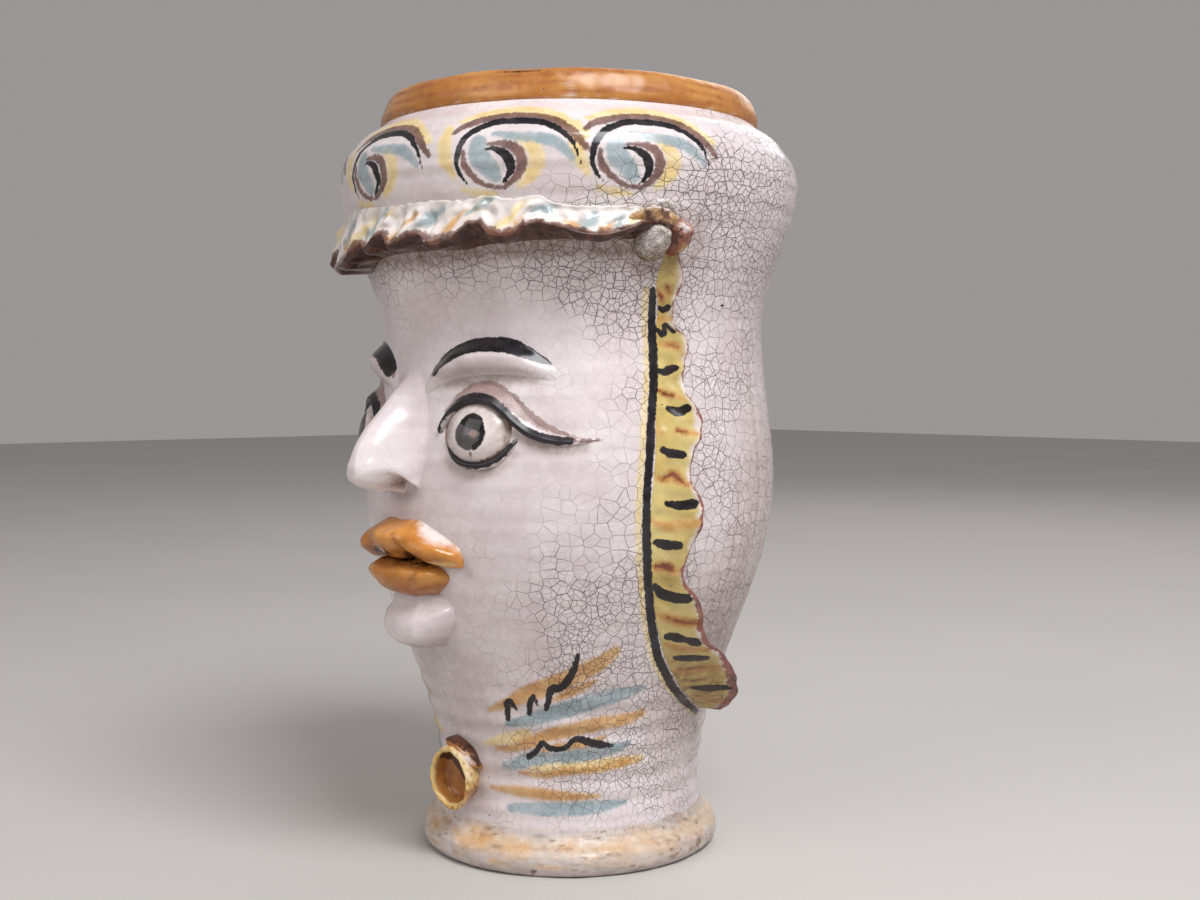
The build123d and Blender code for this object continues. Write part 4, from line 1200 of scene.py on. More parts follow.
piece, u, v, front = newSheet("frillStrip", 580, 80)
azimuth, z, reach, top, contact = frillShape(u, v)
backHeight = contact + (top - contact) * (v + 1) / 2
moveTo(piece, wallPoint(azimuth, np.where(front, z, backHeight), np.where(front, reach, -clayDepth)))
across = alongWall(top) - (1 - v) * 16
mapGlaze(piece, azimuth, across)
down = (1 - v) / 1.1
streaks = {
    "yellow": [(3.0, -9, 0.95, 0.3, 6), (2.6, 0.5, 0.6, 0.15, 4), (3.4, 33.5, 0.95, 0.25, 6),
        (2.6, 27.5, 0.7, 0.1, 3), (3.2, 62.5, 1.0, 0.3, 3), (3.2, -36, 0.95, 0.2, 6), (3.0, -52, 0.95, 0.2, 5),
        (2.8, -66, 0.95, 0.2, 3)],
    "orange": [(3.0, 6.0, 0.98, 0.4, 7), (2.8, 20.5, 0.98, 0.4, 5.5), (2.0, 36.5, 1.0, 0.7, 3),
        (4.6, 49.0, 0.98, 0.66, 3), (3.0, 55.5, 0.98, 0.7, 3), (2.6, 65, 0.9, 0.5, 2), (3.0, -18, 0.98, 0.45, 6),
        (2.8, -43, 0.98, 0.4, 6), (3.0, -59, 0.98, 0.4, 5)],
    "blue": [(3.8, -27, 0.95, 0.15, 6), (3.4, -15, 0.6, 0.1, 5), (3.6, -5.5, 0.8, 0.15, 7), (3.6, 13.5, 0.8, 0.2, 6),
        (3.6, 27.0, 0.55, 0.1, 5), (3.8, 41.5, 0.65, 0.15, 5), (4.2, 52.0, 0.9, 0.3, 3), (2.8, 59.5, 0.9, 0.4, 2),
        (3.6, -38, 0.6, 0.1, 5), (3.4, -48, 0.7, 0.15, 5), (3.2, -62, 0.8, 0.2, 4)],
}
# Streaks are laid out flat: millimetres a degree round the brim, and from its top down to the hem
degree, fall = frillForm["degree"], frillForm["fall"]
for kind, places in streaks.items():
    strokes = []
    for width, start, low, high, lean in places:
        course = [(start, low), (start + 0.5 * lean, 0.5 * (low + high)), (start + lean, high)]
        strokes.append(([0.5 * width, width, 0.6 * width], [(a * degree, share * fall) for a, share in course]))
    field = strokeField(azimuth * degree, fall * down, strokes)
    layPaint(piece, kind, field * 0.6 + 0.7 * lumps(azimuth * 2, 20 * down, 0, 7, 46) - 0.3)
edgeLine = 16 * (-v - 0.05) + 0.9 * lumps(azimuth * 2, 3, 0, 5, 45)
layPaint(piece, "brown", edgeLine * 0.8 + 1.5)
layPaint(piece, "umber", edgeLine)
mark(piece, "crack", 0.1 + 0.35 * ease(azimuth, 50, 68))
# Darker on the underside toward the wall and in a line just under the top edge: painted shade with dirt
mark(piece, "dirtAndShade", 0.3 * (1 - ease(v, -1, -0.6)) + 0.14 * hump(down, 0.12, 0.06))
finishPiece(piece, frillGlaze, "frill_glaze", "hat_frill")
stage("frill pressed on")

# Knots: a pinched lump with a strand wrapped over it, and the rolled end of the ribbon beside it
knotForm = {"azimuth": 70.0, "height": 333.0, "halfAngle": 8.4, "halfHeight": 20.0, "radius": 111}
knotEndForm = {"azimuth": 75.6, "height": 334.8, "halfAngle": 5.2, "halfHeight": 11.5, "radius": 111}


def lobe(x, y, centre, half, reach, power=2.3, roundness=0.62):
    apart = np.hypot((x - centre[0]) / half[0], (y - centre[1]) / half[1])
    return reach * np.clip(1 - apart**power, 0, 1) ** roundness - 3 * ease(apart, 1, 1.3)


def strand(x, y, widths, course, reach):
    field = strokeField(x, y, [(widths, course)])
    deep = np.clip(1 - np.clip(field, -9, None) / max(widths), 0, None)
    return reach * np.sqrt(np.clip(1 - deep**2, 0, 1)) - 3 * ease(deep, 1, 1.4)


# Where a lump lies on the wall, and its millimetres across and up from its middle
def lumpPlace(form, u, v):
    azimuth = form["azimuth"] + form["halfAngle"] * u
    z = form["height"] + form["halfHeight"] * v
    return azimuth, z, np.radians(azimuth - form["azimuth"]) * form["radius"], z - form["height"]


strandLine = [(-13.5, 8.5), (-9.5, 10.4), (-4.5, 11.4), (1, 10.6), (5.5, 8.6), (9.5, 7.4), (12.0, 8.2)]
strandWidths = [2.2, 3.4, 4.2, 4.0, 3.2, 2.0]
loopWidths = [1.6, 2.2, 2.4, 2.2, 1.8]
loopLine = [(-4.4, 13.6), (-2.6, 16.6), (1.4, 17.6), (5.4, 15.6), (7.2, 12.4), (7.8, 9.4)]
piece, u, v, front = newSheet("knotLeft", 120, 130)
azimuth, z, x, y = lumpPlace(knotForm, u, v)
lump = lobe(x, y, (-0.6, -0.6), (8.6, 10.0), 11.6) + 1.1 * lumps(x, y, 0, 6, 51)
tied = strand(x, y, strandWidths, strandLine, 3.0) + 3.0 + 3.8 * hump(x, 0, 8) + 0.9 * lumps(x, y, 0, 5, 55)
tied = np.where(strand(x, y, strandWidths, strandLine, 4.2) > 0, tied, -3)
loop = strand(x, y, loopWidths, loopLine, 3.4)
loop = np.where(loop > 0, loop + 2.6, -3)
reach = np.maximum(np.maximum(lump, tied), loop) - 0.3
inner = (np.abs(u) < 0.97) & (np.abs(v) < 0.97)
reach = np.where(inner, np.maximum(reach, -3), -3)
moveTo(piece, wallPoint(azimuth, z, np.where(front, reach, -6)))
mapGlaze(piece, azimuth * 1.8, alongWall(z) * 1.8)
layPaint(piece, "yellow", strokeField(x, y, [([1.0, 1.6, 0.8], [(-13.5, 9.0), (-10.0, 9.6), (-8.0, 8.6)])]))
layPaint(piece, "orange",
    strokeField(x, y,
        [([1.8, 3.0, 3.4, 3.2, 2.0], [(-12.0, 10.2), (-7.0, 11.4), (-1.0, 10.6), (5.0, 9.2), (10.0, 8.0)])]) * 0.8)
layPaint(piece, "brown",
    strokeField(x, y,
        [([0.5, 1.2, 1.0, 0.6], [(-11.0, 6.4), (-5.0, 8.4), (1, 7.6), (6.5, 5.4)]),
            ([0.6, 1.6, 1.4], [(-7.6, 13.0), (-6.2, 10.6), (-6.6, 7.6)]),
            ([0.5, 1.4, 1.6, 0.6], [(-1.4, 14.6), (0.2, 12.6), (1.4, 10.4), (3.4, 9.0)])]))
# Umber in the creases under and beside the strand: painted shade
layPaint(piece, "umber",
    strokeField(x, y,
        [([0.4, 0.9, 0.6, 0.3], [(-10.0, 5.4), (-5.0, 7.2), (0.6, 6.6), (5.5, 4.4)]),
            ([0.3, 0.8, 0.4], [(-6.8, 12.0), (-6.2, 10.2), (-6.4, 8.4)])]))
mark(piece, "crack", 0.95)
# Darker on the lower half, at the bottom and where the lump meets the wall: painted shade with dirt
dirtAndShade = np.clip(0.34 - 0.24 * ease(y, 4, 8) + 0.16 * lumps(x, y, 0, 7, 56), 0.06, 1)
mark(piece, "dirtAndShade", dirtAndShade + 0.4 * hump(y, -10, 3.6) + 0.36 * ease(-reach, -3.5, 0))
finishPiece(piece, frillGlaze, "white_glaze", "knot_left")
finishPiece(mirroredCopy(piece, "knotRight"), frillGlaze, "white_glaze", "knot_right")

piece, u, v, front = newSheet("knotEndLeft", 80, 90)
azimuth, z, x, y = lumpPlace(knotEndForm, u, v)
reach = lobe(x, y, (0, 0), (7.0, 9.2), 12.6, 2.2, 0.6)
reach = reach + 0.7 * lumps(x, y, 0, 4, 52) * (np.hypot(x / 7.0, y / 9.2) < 1) - 0.3
reach = np.where((np.abs(u) < 0.97) & (np.abs(v) < 0.97), reach, -3)
moveTo(piece, wallPoint(azimuth, z, np.where(front, reach, -6)))
mapGlaze(piece, azimuth, alongWall(z))
# A white spot on the top of the lump is a painted highlight; umber on its side toward the knot is painted shade in
# the crease
layPaint(piece, "white", 2.0 - np.hypot(x * 0.8 + 0.6, y - 4.0) + 0.8 * lumps(x, y, 0, 3, 54))
layPaint(piece, "umber", 2.0 - np.hypot((x + 4.6) * 0.9, (y + 1.2) * 0.4) + 0.9 * lumps(x, y, 0, 3, 53))
layPaint(piece, "orange", 2.2 - np.hypot(x - 1.5, y + 6.0))
mark(piece, "crack", 0.7)
# Darker where the lump meets the wall: painted shade
mark(piece, "dirtAndShade", 0.12 + 0.4 * ease(-reach, -2.0, 0))
finishPiece(piece, rustGlaze, "brown_glaze", "knot_end_left")
finishPiece(mirroredCopy(piece, "knotEndRight"), rustGlaze, "brown_glaze", "knot_end_right")
stage("knots tied")

# Ribbons. Stations run down: inner azimuth and height, outer azimuth and height, outer reach.
ribbonForm = np.array([
    (73.4, 327.5, 76.4, 328.5, 2), (73.4, 324.4, 77.2, 325.4, 4), (72.8, 318, 78.0, 318.7, 7),
    (72.7, 313, 78.3, 313.5, 8), (73.2, 308, 78.4, 308.3, 7), (73.9, 303, 77.4, 303.2, 6),
    (74.3, 297, 77.3, 296.6, 6), (74.2, 291, 77.9, 291.2, 6.5), (74.2, 285.4, 80.4, 285.4, 9),
    (73.9, 279.5, 81.0, 279.5, 9), (73.6, 271.5, 80.5, 271.5, 7), (73.3, 264.4, 79.8, 264.4, 6),
    (73.1, 257.8, 79.7, 257.8, 7.5), (72.8, 250.5, 81.3, 250.4, 10.5), (72.5, 243.6, 82.4, 243.2, 12),
    (72.3, 236.6, 81.9, 236.4, 12), (72.0, 227, 80.3, 226.6, 9), (71.6, 219, 79.6, 218.6, 7),
    (71.2, 212, 79.5, 211.8, 8), (70.8, 205, 80.8, 205, 11), (70.5, 198.6, 81.6, 199, 12),
    (70.4, 191.5, 81.7, 191.9, 12), (70.4, 183, 81.2, 183.5, 9), (70.7, 173, 80.2, 173.6, 6),
    (71.2, 164, 79.6, 164.4, 6), (71.8, 157.5, 81.0, 158.2, 7), (72.6, 151.8, 83.5, 152.4, 10),
    (74.6, 144, 86.2, 144.2, 12), (76.6, 133.4, 88.4, 134, 12), (79.0, 124.4, 91.1, 125.8, 14),
    (82.2, 115.6, 95.7, 119.0, 18), (86.4, 107.4, 100.1, 111.0, 21), (91.8, 99.4, 105.0, 100.6, 23),
    (98.0, 92.2, 108.2, 92.0, 22.4), (104.6, 86.4, 110.4, 85.6, 19), (110.6, 81.4, 112.2, 80.8, 13),
])
ribbonForm[:, 0] -= 0.7 * ease(ribbonForm[:, 1], 128, 145) * (1 - ease(ribbonForm[:, 1], 286, 300))
ribbonMiddle = np.stack([np.radians((ribbonForm[:, 0] + ribbonForm[:, 2]) / 2) * 95,
        (ribbonForm[:, 1] + ribbonForm[:, 3]) / 2], -1)
ribbonRun = runLength(ribbonMiddle)
ribbonWide = np.hypot(np.radians(ribbonForm[:, 2] - ribbonForm[:, 0]) * np.vectorize(wallRadius)(ribbonForm[:, 1]),
    ribbonForm[:, 4] - 0.5)


# Brush strokes on a ribbon: half widths, then height down the ribbon and share across it
def ribbonStrokes(strokes):
    laid = []
    for widths, course in strokes:
        run = np.interp([-height for height, share in course], -ribbonForm[:, 1], ribbonRun)
        shares = [share for height, share in course]
        laid.append((widths,
                [(s * np.interp(place, ribbonRun, ribbonWide), -place) for place, s in zip(run, shares)]))
    return laid


piece, u, v, front = newSheet("ribbonLeft", 420, 44)
run = ribbonRun[-1] * (1 - u) / 2
share = (np.sign(v) * (1 - (1 - np.abs(v)) ** 1.5) + 1) / 2
innerTurn, innerHeight, outerTurn, outerHeight, outerReach = curves(ribbonRun, ribbonForm.T, run)
azimuth = innerTurn + (outerTurn - innerTurn) * share
z = innerHeight + (outerHeight - innerHeight) * share
scoop = 0.35 + (outerReach - 0.35) * share ** (1.8 + 0.3 * np.sin(run / 9)) - 0.9 * ease(share, 0.92, 1)
scoop = scoop + 0.45 * ease(share, 0, 0.2) * lumps(18 * share, run, 0, 11, 61)
reach = np.where(share < 0.02, -0.35, scoop)
thick = 3.4 + 0.5 * lumps(run, 0, 0, 13, 62)
back = np.maximum(-3.0, reach - thick - 3 * (1 - share))
moveTo(piece, wallPoint(azimuth, z, np.where(front, reach, back)))
across = share * np.interp(run, ribbonRun, ribbonWide)
mapGlaze(piece, azimuth, alongWall(z))
dashes = [
    ([0.9, 1.4, 1.0], [(300.0, 0.14), (299.2, 0.4), (300.2, 0.68)]),
    ([0.9, 1.1, 0.6, 0.5, 0.6], [(288.6, 0.14), (286.4, 0.28), (287.6, 0.4), (291.4, 0.5), (287.8, 0.72)]),
    ([1.2, 1.9, 1.5], [(267.8, 0.2), (267.4, 0.38), (269.4, 0.68)]),
    ([1.2, 2.1, 1.6], [(248.8, 0.38), (247.4, 0.58), (249.2, 0.78)]),
    ([1.3, 2.0, 1.8], [(228.2, 0.22), (226.4, 0.42), (226.0, 0.7)]),
    ([0.9, 1.9, 2.3], [(201.0, 0.34), (199.6, 0.58), (200.4, 0.82)]),
    ([1.6, 2.4, 1.8], [(181.0, 0.2), (179.4, 0.4), (178.8, 0.68)]),
    ([1.4, 2.8, 3.1, 2.4], [(157.6, 0.19), (153.4, 0.32), (151.0, 0.56), (150.4, 0.78)]),
    ([1.6, 2.8, 1.7, 2.8], [(129.0, 0.2), (128.6, 0.36), (127.2, 0.54), (124.8, 0.74)]),
    ([1.2, 2.4, 1.8], [(115.8, 0.22), (114.6, 0.44), (113.6, 0.7)]),
    ([1.1, 2.7, 1.8], [(96.4, 0.3), (95.8, 0.52), (96.4, 0.84)]),
]
rust = [
    ([1.6, 2.2, 1.4], [(308.5, 0.1), (305.5, 0.3), (303.0, 0.3)]),
    ([0.8, 1.3, 0.6], [(311, 0.45), (308, 0.6), (306.5, 0.66)]),
    ([1.4, 2.2, 1.6], [(294.6, 0.04), (294.4, 0.5), (295.0, 0.9)]),
    ([0.8, 1.8, 1.5, 1.0], [(281.6, 0.12), (281.4, 0.5), (280.6, 0.75), (276.5, 0.86)]),
    ([1.0, 1.7, 1.5, 0.7], [(258.4, 0.12), (256.2, 0.4), (255.8, 0.62), (253.0, 0.85)]),
    ([1.4, 1.8], [(238.0, 0.03), (236.6, 0.14)]), ([1.0, 1.6, 1.3], [(238.4, 0.48), (237.6, 0.62), (236.2, 0.92)]),
    ([1.2, 2.0, 1.8, 1.4, 0.8], [(213.6, 0.15), (213.0, 0.4), (216.0, 0.56), (212.4, 0.75), (209.4, 0.95)]),
    ([1.6, 2.2, 2.8, 3.0, 2.2], [(192.6, 0.05), (189.8, 0.25), (189.0, 0.5), (190.2, 0.75), (190.6, 0.95)]),
    ([2.2, 2.8, 2.4], [(167.6, 0.2), (167.8, 0.55), (164.8, 0.72)]),
    ([2.0, 3.4, 3.8, 3.0], [(141.8, 0.1), (139.2, 0.35), (137.0, 0.65), (136.0, 0.9)]),
    ([2.0, 2.8, 2.2], [(124.2, 0.15), (121.0, 0.45), (119.2, 0.8)]),
    ([2.4, 3.2, 2.6], [(107.2, 0.1), (106.2, 0.45), (106.8, 0.8)]),
    ([2.0, 3.0, 2.0], [(90.6, 0.1), (88.6, 0.5), (88.0, 1.0)]),
]
deepRust = [
    ([0.6, 1.0], [(307.0, 0.14), (305.0, 0.26)]), ([0.7, 0.5], [(310.6, 0.5), (307.6, 0.62)]),
    ([0.5, 1.0, 0.5], [(281.6, 0.4), (281.0, 0.55), (279.6, 0.7)]),
    ([0.6, 1.0, 0.6], [(257.6, 0.2), (256.4, 0.34), (255.2, 0.6)]), ([0.6, 0.6], [(237.8, 0.52), (237.0, 0.66)]),
    ([0.7, 1.4, 1.2, 0.5], [(213.4, 0.26), (216.0, 0.52), (213.0, 0.68), (210.4, 0.88)]),
    ([1.2, 1.8, 1.4], [(168.4, 0.24), (168.2, 0.5), (166.2, 0.68)]),
    ([0.7, 1.2, 0.9], [(140.0, 0.3), (137.2, 0.6), (136.6, 0.85)]),
    ([0.6, 1.2, 0.6], [(109.0, 0.2), (107.8, 0.4), (108.4, 0.7)]),
    ([0.6, 1.1, 0.6], [(101.6, 0.2), (100.6, 0.4), (101.0, 0.6)]),
]
tailShade = ease(run, 165, 235)
wide = np.interp(run, ribbonRun, ribbonWide)
fromEdge = (1 - share) * wide
trim = 0.7 + 0.5 * ease(outerReach, 8, 12) + 1.5 * ease(run, 150, 172) + 0.8 * tailShade - fromEdge
trim = trim + 0.6 * lumps(run, 0, 0, 5, 63)
trim = np.minimum(trim, np.hypot((run - 217) / 2.2, fromEdge - 3.8) - 1.9)
flange = 1.6 + 1.3 * ease(outerReach, 7, 12) + 0.9 * tailShade - fromEdge + 0.9 * lumps(run, 0, 0, 9, 64)
line = wallField(azimuth, z, cheekPaint["black"]) - 22 * ease(share, 0.3, 0.5)
layPaint(piece, "black", np.maximum(strokeField(across, -run, ribbonStrokes(dashes)) + 0.45, line))
layPaint(piece, "orange", strokeField(across, -run, ribbonStrokes(rust)))
# Rust: the listed strokes are paint; the wash spreading over the lower end is painted shade
layPaint(piece, "rust",
    np.maximum(strokeField(across, -run, ribbonStrokes(deepRust)) + 0.6,
        4.0 * tailShade - 6.2 + 2.4 * lumps(across * 0.5, run * 1.6, 0, 9, 65)))
layPaint(piece, "white", flange)
layPaint(piece, "russet", np.maximum(strokeField(across, -run, ribbonStrokes(deepRust)) - 0.4, trim))
mark(piece, "crack", 0.1 + 0.4 * ease(z, 300, 318) + 0.4 * (1 - ease(z, 100, 130)))
# Darker toward the lower end and up under the knot: painted shade with dirt
dirtAndShade = 0.05 + 0.38 * tailShade * (1 - ease(share, 0.75, 0.95)) + 0.35 * ease(z, 314, 324)
mark(piece, "dirtAndShade", dirtAndShade + 0.16 * (1 - ease(outerReach, 6, 9)) * hump(share, 0.55, 0.3))
finishPiece(piece, yellowGlaze, "yellow_glaze", "ribbon_left")
finishPiece(mirroredCopy(piece, "ribbonRight"), yellowGlaze, "yellow_glaze", "ribbon_right")
stage("ribbons hung")

# Brooch: a small thrown cup set on its side, with a leaf of clay laid over it
cupForm = {"height": 47.6, "wide": 0.86, "tall": 1.02, "swing": 0.26}
cupLine = [
    (0, -3), (13.0, -3), (13.3, -0.5), (13.2, 2), (13.8, 5), (14.9, 8.5), (15.9, 11.5), (16.4, 13.2), (16.3, 14.4),
    (15.7, 15.1), (14.8, 15.2), (14.0, 14.6), (13.5, 13.4), (12.9, 11), (12.2, 8.4), (11.0, 6.4), (9.0, 5.2),
    (6.0, 4.6), (3.0, 4.4), (0, 4.3),
]
outline = smoothPath(cupLine, 4)
outline = outline[outline[:, 0] > -1]
outline[:, 0] = np.clip(outline[:, 0], 0, None)
outline[[0, -1], 0] = 0
piece = newThrown("broochCup", outline, 96)
x, y, deep = (coordinates(piece) / mm).T
outward = np.hypot(x, y)
clock = np.degrees(np.arctan2(x, y))
mouth = ease(deep, 3, 15)
pinch = 1 + mouth * (0.05 * np.cos(np.radians(2 * clock)) - 0.06 * hump(clock, -150, 30))
lean = 1.6 * mouth * hump(clock, 35, 40) - 1.2 * mouth * hump(np.abs(clock), 170, 40)
wobble = 1 + 0.03 * mouth * lumps(x, y, deep, 7, 71)
out = deep + lean * mouth
x, swing = x * cupForm["wide"] * pinch * wobble, cupForm["swing"]
points = np.stack([
    x * np.cos(swing) + out * np.sin(swing) - 1.2,
    -(wallRadius(cupForm["height"]) - 0.6 + out * np.cos(swing) - x * np.sin(swing)),
    cupForm["height"] + y * cupForm["tall"] * pinch * wobble,
], -1)
moveTo(piece, points)
mapGlaze(piece, np.degrees(points[:, 0] / 75), points[:, 2] + deep)
inside = (deep > 4) & (outward < 12.6 + 0.12 * deep)
hollow = inside & (deep < 13.4)
shadeSide = 8 * ease(np.cos(np.radians(clock - 45)), -0.4, 0.4) - 3.8
layPaint(piece, "umber", np.where(hollow, shadeSide + 1.6 * lumps(x, y, deep, 5, 72), -8))
layPaint(piece, "rust",
    np.where(hollow, 1.6 * lumps(x, y, deep, 8, 76),
        np.where(inside, -8,
            2.2 * hump(clock, 120, 22) + 1.8 * hump(np.abs(clock), 180, 30) - 1.2 + 1.6 * lumps(x, y, deep, 3, 75))))
lipBand = np.where(outward > 12.6, 2.6 - np.abs(deep - 15.2) * 1.1, -8)
layPaint(piece, "white",
    np.where(hump(clock, 52, 40) > 0.3, 4.4 * hump(clock, 52, 36) - 1.0 - np.abs(deep - 13.6) * 0.5, -8)
    * (outward > 12.4) - 8 * (outward <= 12.4))
layPaint(piece, "yellow",
    np.maximum(lipBand,
        np.where((outward > 12) & ~inside,
            3.6 * hump(clock, 95, 34) + 2.4 * hump(np.abs(clock), 168, 26) - 1.0 + 1.4 * lumps(x, y, deep, 4, 73),
            -8)))
# Darker where the cup meets the wall and inside it: painted shade with dirt
mark(piece, "dirtAndShade", 0.5 * (1 - ease(deep, -0.6, 1.2)) + 0.2 * inside)
mark(piece, "crack", 0.1)
finishPiece(piece, ochreGlaze, "ochre_glaze", "brooch_cup")

leafRoll = [(-3.2, 67.0, 0.8, 0.8, 3.0), (-1.6, 67.2, 2.4, 2.2, 8.6), (1.4, 65.4, 3.2, 3.0, 10.4),
    (4.4, 62.2, 3.4, 3.2, 10.2), (7.0, 58.4, 3.0, 2.8, 8.4), (9.2, 54.8, 2.0, 1.9, 5.4), (10.4, 52.6, 0.8, 0.8, 1.5)]
leaf, azimuth, z, reach = pressSheet("broochLeaf", 100, 50,
    rollShape(leafRoll, (3.0, 0.5), (3.0, 0.5), lumpy=0.5, seed=74))
leafEdge = [(-3.2, 68.4), (-1.4, 69.6), (2.4, 68.4), (6.0, 65.2), (9.0, 60.4), (11.0, 54.8)]
leafPaint = {
    "umber": [([1.6, 1.8, 1.4, 1.2, 1.1, 0.7], leafEdge)],
    "yellow": [([0.6, 1.0, 0.6], [(3.0, 60.0), (6.0, 57.0), (8.6, 53.6)])],
    "white": [([0.8, 1.6, 0.8], [(6.4, 61.4), (8.0, 59.0), (9.4, 56.6)])],
    "rust": [([1.2, 2.0, 1.0], [(-1.0, 66.0), (3.0, 66.4), (6.0, 63.6)])],
}
paintPressed(leaf, azimuth, z, [leafPaint], crack=0.1, dirtAndShade=0.1)
finishPiece(leaf, ochreGlaze, "ochre_glaze", "brooch_leaf")
stage("brooch set")

# Foot: a heavy thrown ring under the pinch, chipped on one side
footLine = [
    (0, 0.8), (60, 0.8), (73, 0.6), (76, 0.0), (79.6, 0.0), (81.6, 0.6), (83.6, 2.6), (84.7, 5.0), (85.0, 7.4),
    (84.9, 9.8), (84.2, 12.0), (82.6, 13.8), (80.4, 15.6), (78.4, 17.6), (76.9, 19.8), (76.0, 22.0), (75.2, 24.2),
    (73.6, 25.6), (67.8, 22.6), (66.4, 20.4), (66.0, 17.0), (65.0, 15.0), (62.0, 14.1), (30, 14.0), (0, 14.0),
]
piece = newThrown("footRing", smoothPath(footLine, 5), 300)
x, y, z, radius, azimuth = turnedPlaces(piece)
ringed = ease(radius, 70, 76) * ease(z, 0.2, 2)
turned = 0.16 * np.sin((z - 9) / 2.4) * ease(z, 12, 14) * (1 - ease(z, 19, 21))
grow = ringed * (0.45 * lumps(x, y, z, 30, 81) + 0.22 * lumps(x, y, z, 8, 82) + turned)
chips = [(107.5, 7.2, 3.4, 1.3), (36, 3.2, 2.4, 0.6), (-58, 6.4, 2.8, 0.9), (150, 8, 3.0, 0.8), (-140, 3, 2.6, 0.8)]
chipped = np.zeros(len(z))
for where, level, size, depth in chips:
    apart = np.hypot((azimuth - where) * pi / 180 * 85, z - level)
    chipped = np.maximum(chipped, ease(size - apart + 0.5 * lumps(x, y, z, 2, 83), 0, 0.8))
    grow = grow - depth * ease(size - apart, 0, 1.2) * ringed
scale = np.where(radius > 1, (radius + grow) / np.maximum(radius, 1), 1)
moveTo(piece, np.stack([x * scale, y * scale, z], -1))
mapGlaze(piece, azimuth, z + radius * 0.4, 84)
wash = 2.6 - np.abs(z - 15.4) * 0.5 + 1.6 * lumps(x, y, z, 34, 84) - 12 * (radius < 70)
thinLine = 0.5 - np.abs(z - 6.6) + 1.3 * lumps(x, y, z, 14, 87) - 12 * (radius < 70)
warmSide = ease(np.cos(np.radians(azimuth - 20)), 0.1, 0.9)
layPaint(piece, "orange",
    np.maximum(wash * 0.4 - 2.8 + 1.7 * warmSide, thinLine * 0.6 - 1.2) + 0.6 * lumps(x, y, 3 * z, 16, 88))
layPaint(piece, "sand", np.maximum(wash, thinLine) + 0.8 * lumps(x, y, 3 * z, 18, 85))
layPaint(piece, "brown", np.where(chipped > 0.5, 0.4, -6))
mark(piece, "crack", np.where(radius > 70, crackAt(azimuth, 30 + 0 * z) * (0.2 + 0.4 * ease(z, 19, 24)), 0.2))
grit = np.clip(0.4 * lumps(0.6 * x, 0.6 * y, 5 * z, 16, 86) + 0.3 * lumps(x, y, 2 * z, 5, 89), 0, 1)
flecks = ease(lumps(x, y, 1.4 * z, 3.6, 87), 0.62, 0.95) * ease(lumps(x, y, z, 24, 90), -0.2, 0.5)
dirtAndShade = 0.10 + 0.6 * grit * ease(z, 0, 3) + 0.55 * flecks + 0.45 * (1 - ease(z, 0.3, 1.8))
mark(piece, "dirtAndShade", np.clip(dirtAndShade + 0.24 * hump(np.abs(azimuth), 112, 22), 0, 0.9))
finishPiece(piece, footGlaze, "white_glaze", "foot")

# Rim: a short collar with a rounded lip, its ochre worn through in places
rimLine = [
    (98.6, 401.6), (104.6, 401.6), (106.2, 402.8), (106.9, 404.8), (107.0, 407.4), (106.6, 410.4), (105.8, 413.4),
    (104.6, 416.4), (103.0, 419.0), (100.8, 420.8), (98.4, 421.2), (96.6, 420.2), (95.4, 418.0), (95.2, 414.6),
    (95.8, 410.4), (96.8, 405.6),
]
piece = newThrown("rimBead", smoothPath(rimLine + rimLine[:1], 4)[:-1], 360)
x, y, z, radius, azimuth = turnedPlaces(piece)
high = ease(z, 406, 411)
grow = high * (0.45 * lumps(x, y, z, 34, 91) + 0.2 * lumps(x, y, z, 9, 92))
scale = (radius + grow) / radius
moveTo(piece, np.stack([x * scale, y * scale, z + np.minimum(0, high * (0.5 * lumps(x, y, 0, 45, 93) - 0.3))], -1))
mapGlaze(piece, azimuth, z + (radius < 101) * 12, 104)
worn = 1.8 * lumps(x, y, z, 26, 94) + 0.9 * lumps(x, y, z, 7, 95)
layPaint(piece, "white",
    np.maximum(worn - 4.2 + 0.5 * np.sin(z * 5 + azimuth / 3),
        1.2 * lumps(x, y, 3 * z, 8, 98) - 1.0 - np.abs(z - 404.6)))
layPaint(piece, "rust", 3.0 * lumps(0.5 * x, 0.5 * y, 9 * z, 36, 97) - 0.2)
layPaint(piece, "umber", 1.8 * lumps(0.35 * x, 0.35 * y, 8 * z, 18, 99) - 2.5)
mark(piece, "crack", 0.03)
# A painted shadow line under the bead, and darker on its inside
mark(piece, "dirtAndShade", 0.3 * hump(z, 403.4, 1.2) + 0.2 * (radius < 99))
finishPiece(piece, rimGlaze, "ochre_glaze", "rim_collar")
stage("brooch, foot and rim done")

# Camera at the photograph's angle, a pale floor and soft studio light
view = {"focal": 1450.48, "imageWidth": 1200, "azimuth": 49.5, "distance": 838.91, "height": 260.35,
    "down": 0.0441731, "axisAt": 569.5}


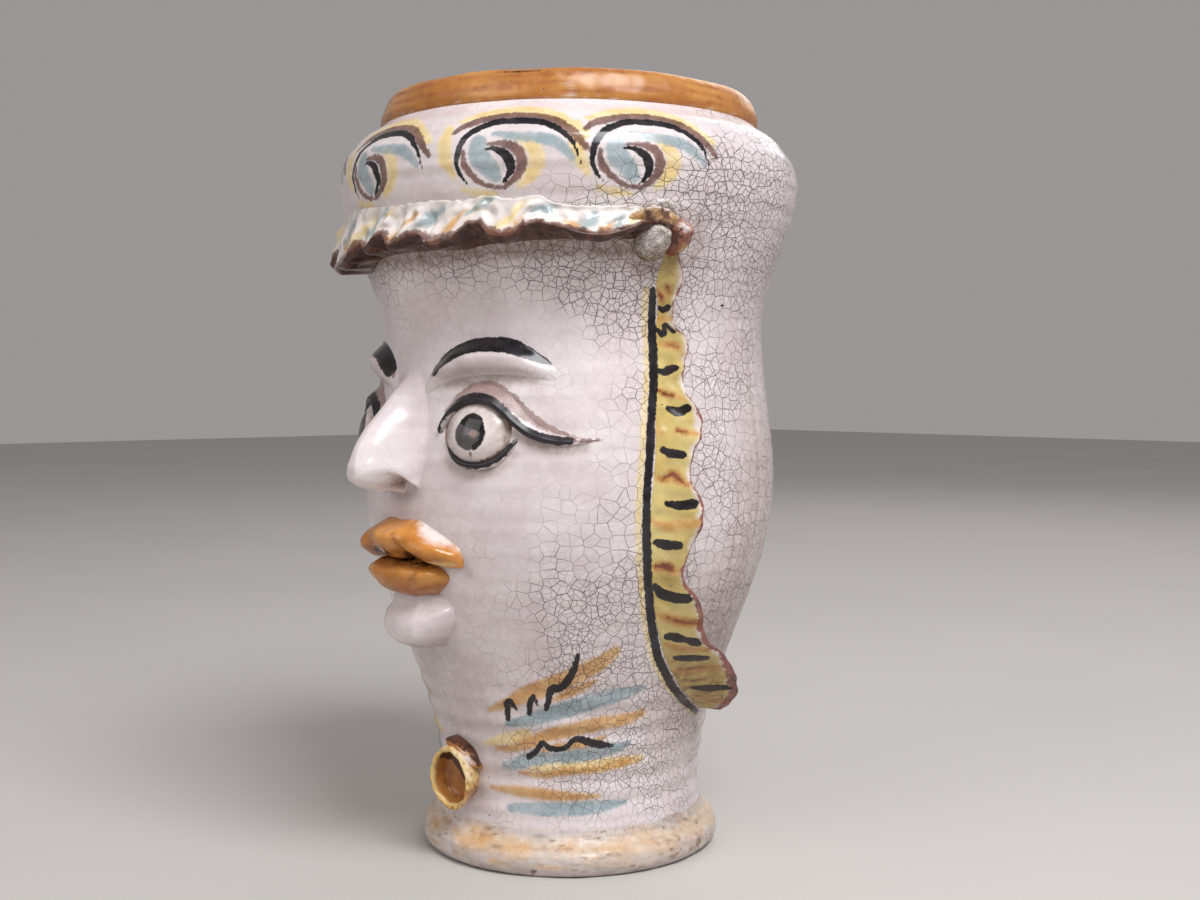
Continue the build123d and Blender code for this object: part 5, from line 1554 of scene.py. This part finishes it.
def placeCamera():
    turn = np.radians(view["azimuth"])
    spot = np.array([np.sin(turn), -np.cos(turn)]) * view["distance"]
    bpy.ops.object.camera_add(location=(spot[0] * mm, spot[1] * mm, view["height"] * mm))
    camera = bpy.context.object
    camera.name = "photoCamera"
    aside = atan((view["imageWidth"] / 2 - view["axisAt"]) / view["focal"])
    camera.rotation_euler = (pi / 2 - view["down"], 0, turn - aside)
    camera.data.sensor_width = 36
    camera.data.lens = 36 * view["focal"] / view["imageWidth"]
    camera.data.clip_start = 0.05
    bpy.context.scene.camera = camera


def placeLight(name, azimuth, elevation, distance, width, height, power, tint):
    turn, rise = np.radians(azimuth), np.radians(elevation)
    aim = np.array([0, 0, 0.23])
    spot = aim + distance * np.array([np.sin(turn) * np.cos(rise), -np.cos(turn) * np.cos(rise), np.sin(rise)])
    bpy.ops.object.light_add(type="AREA", location=spot)
    lamp = bpy.context.object
    lamp.name = name
    lamp.rotation_euler = (pi / 2 - rise, 0, turn)
    lamp.data.shape = "RECTANGLE"
    lamp.data.size, lamp.data.size_y = width, height
    lamp.data.energy = power
    lamp.data.color = tint


placeCamera()
placeLight("windowLight", 80, 51, 2.4, 1.2, 1.2, 64, (0.985, 0.985, 1.0))
placeLight("fillLight", -2, 30, 2.6, 1.6, 1.4, 14, (1.0, 0.955, 0.94))
placeLight("backLight", 205, 35, 2.6, 1.4, 1.4, 10, (1.0, 0.96, 0.94))

world = bpy.data.worlds.new("paleStudio")
bpy.context.scene.world = world
world.use_nodes = True
world.node_tree.nodes["Background"].inputs["Color"].default_value = (0.90, 0.855, 0.85, 1)
world.node_tree.nodes["Background"].inputs["Strength"].default_value = 0.36
bpy.context.scene.view_settings.view_transform = "Standard"

selectNothing()
bpy.ops.mesh.primitive_plane_add(size=12, location=(0, 0, 0))
floor = bpy.context.object
floor.name = "studioFloor"
floorPaint = bpy.data.materials.new("paleFloor")
floorPaint.use_nodes = True
floorTree = floorPaint.node_tree
floorShader = floorTree.nodes["Principled BSDF"]
floorPlace = floorTree.nodes.new("ShaderNodeTexCoord").outputs["Object"]
floorTone = noise(floorTree, floorPlace, 3.0, 3).outputs["Fac"]
floorTree.links.new(blendColours(floorTree, floorTone, colour(0.55, 0.53, 0.51), colour(0.49, 0.475, 0.455)),
    floorShader.inputs["Base Color"])
floorShader.inputs["Roughness"].default_value = 0.55
floor.data.materials.append(floorPaint)
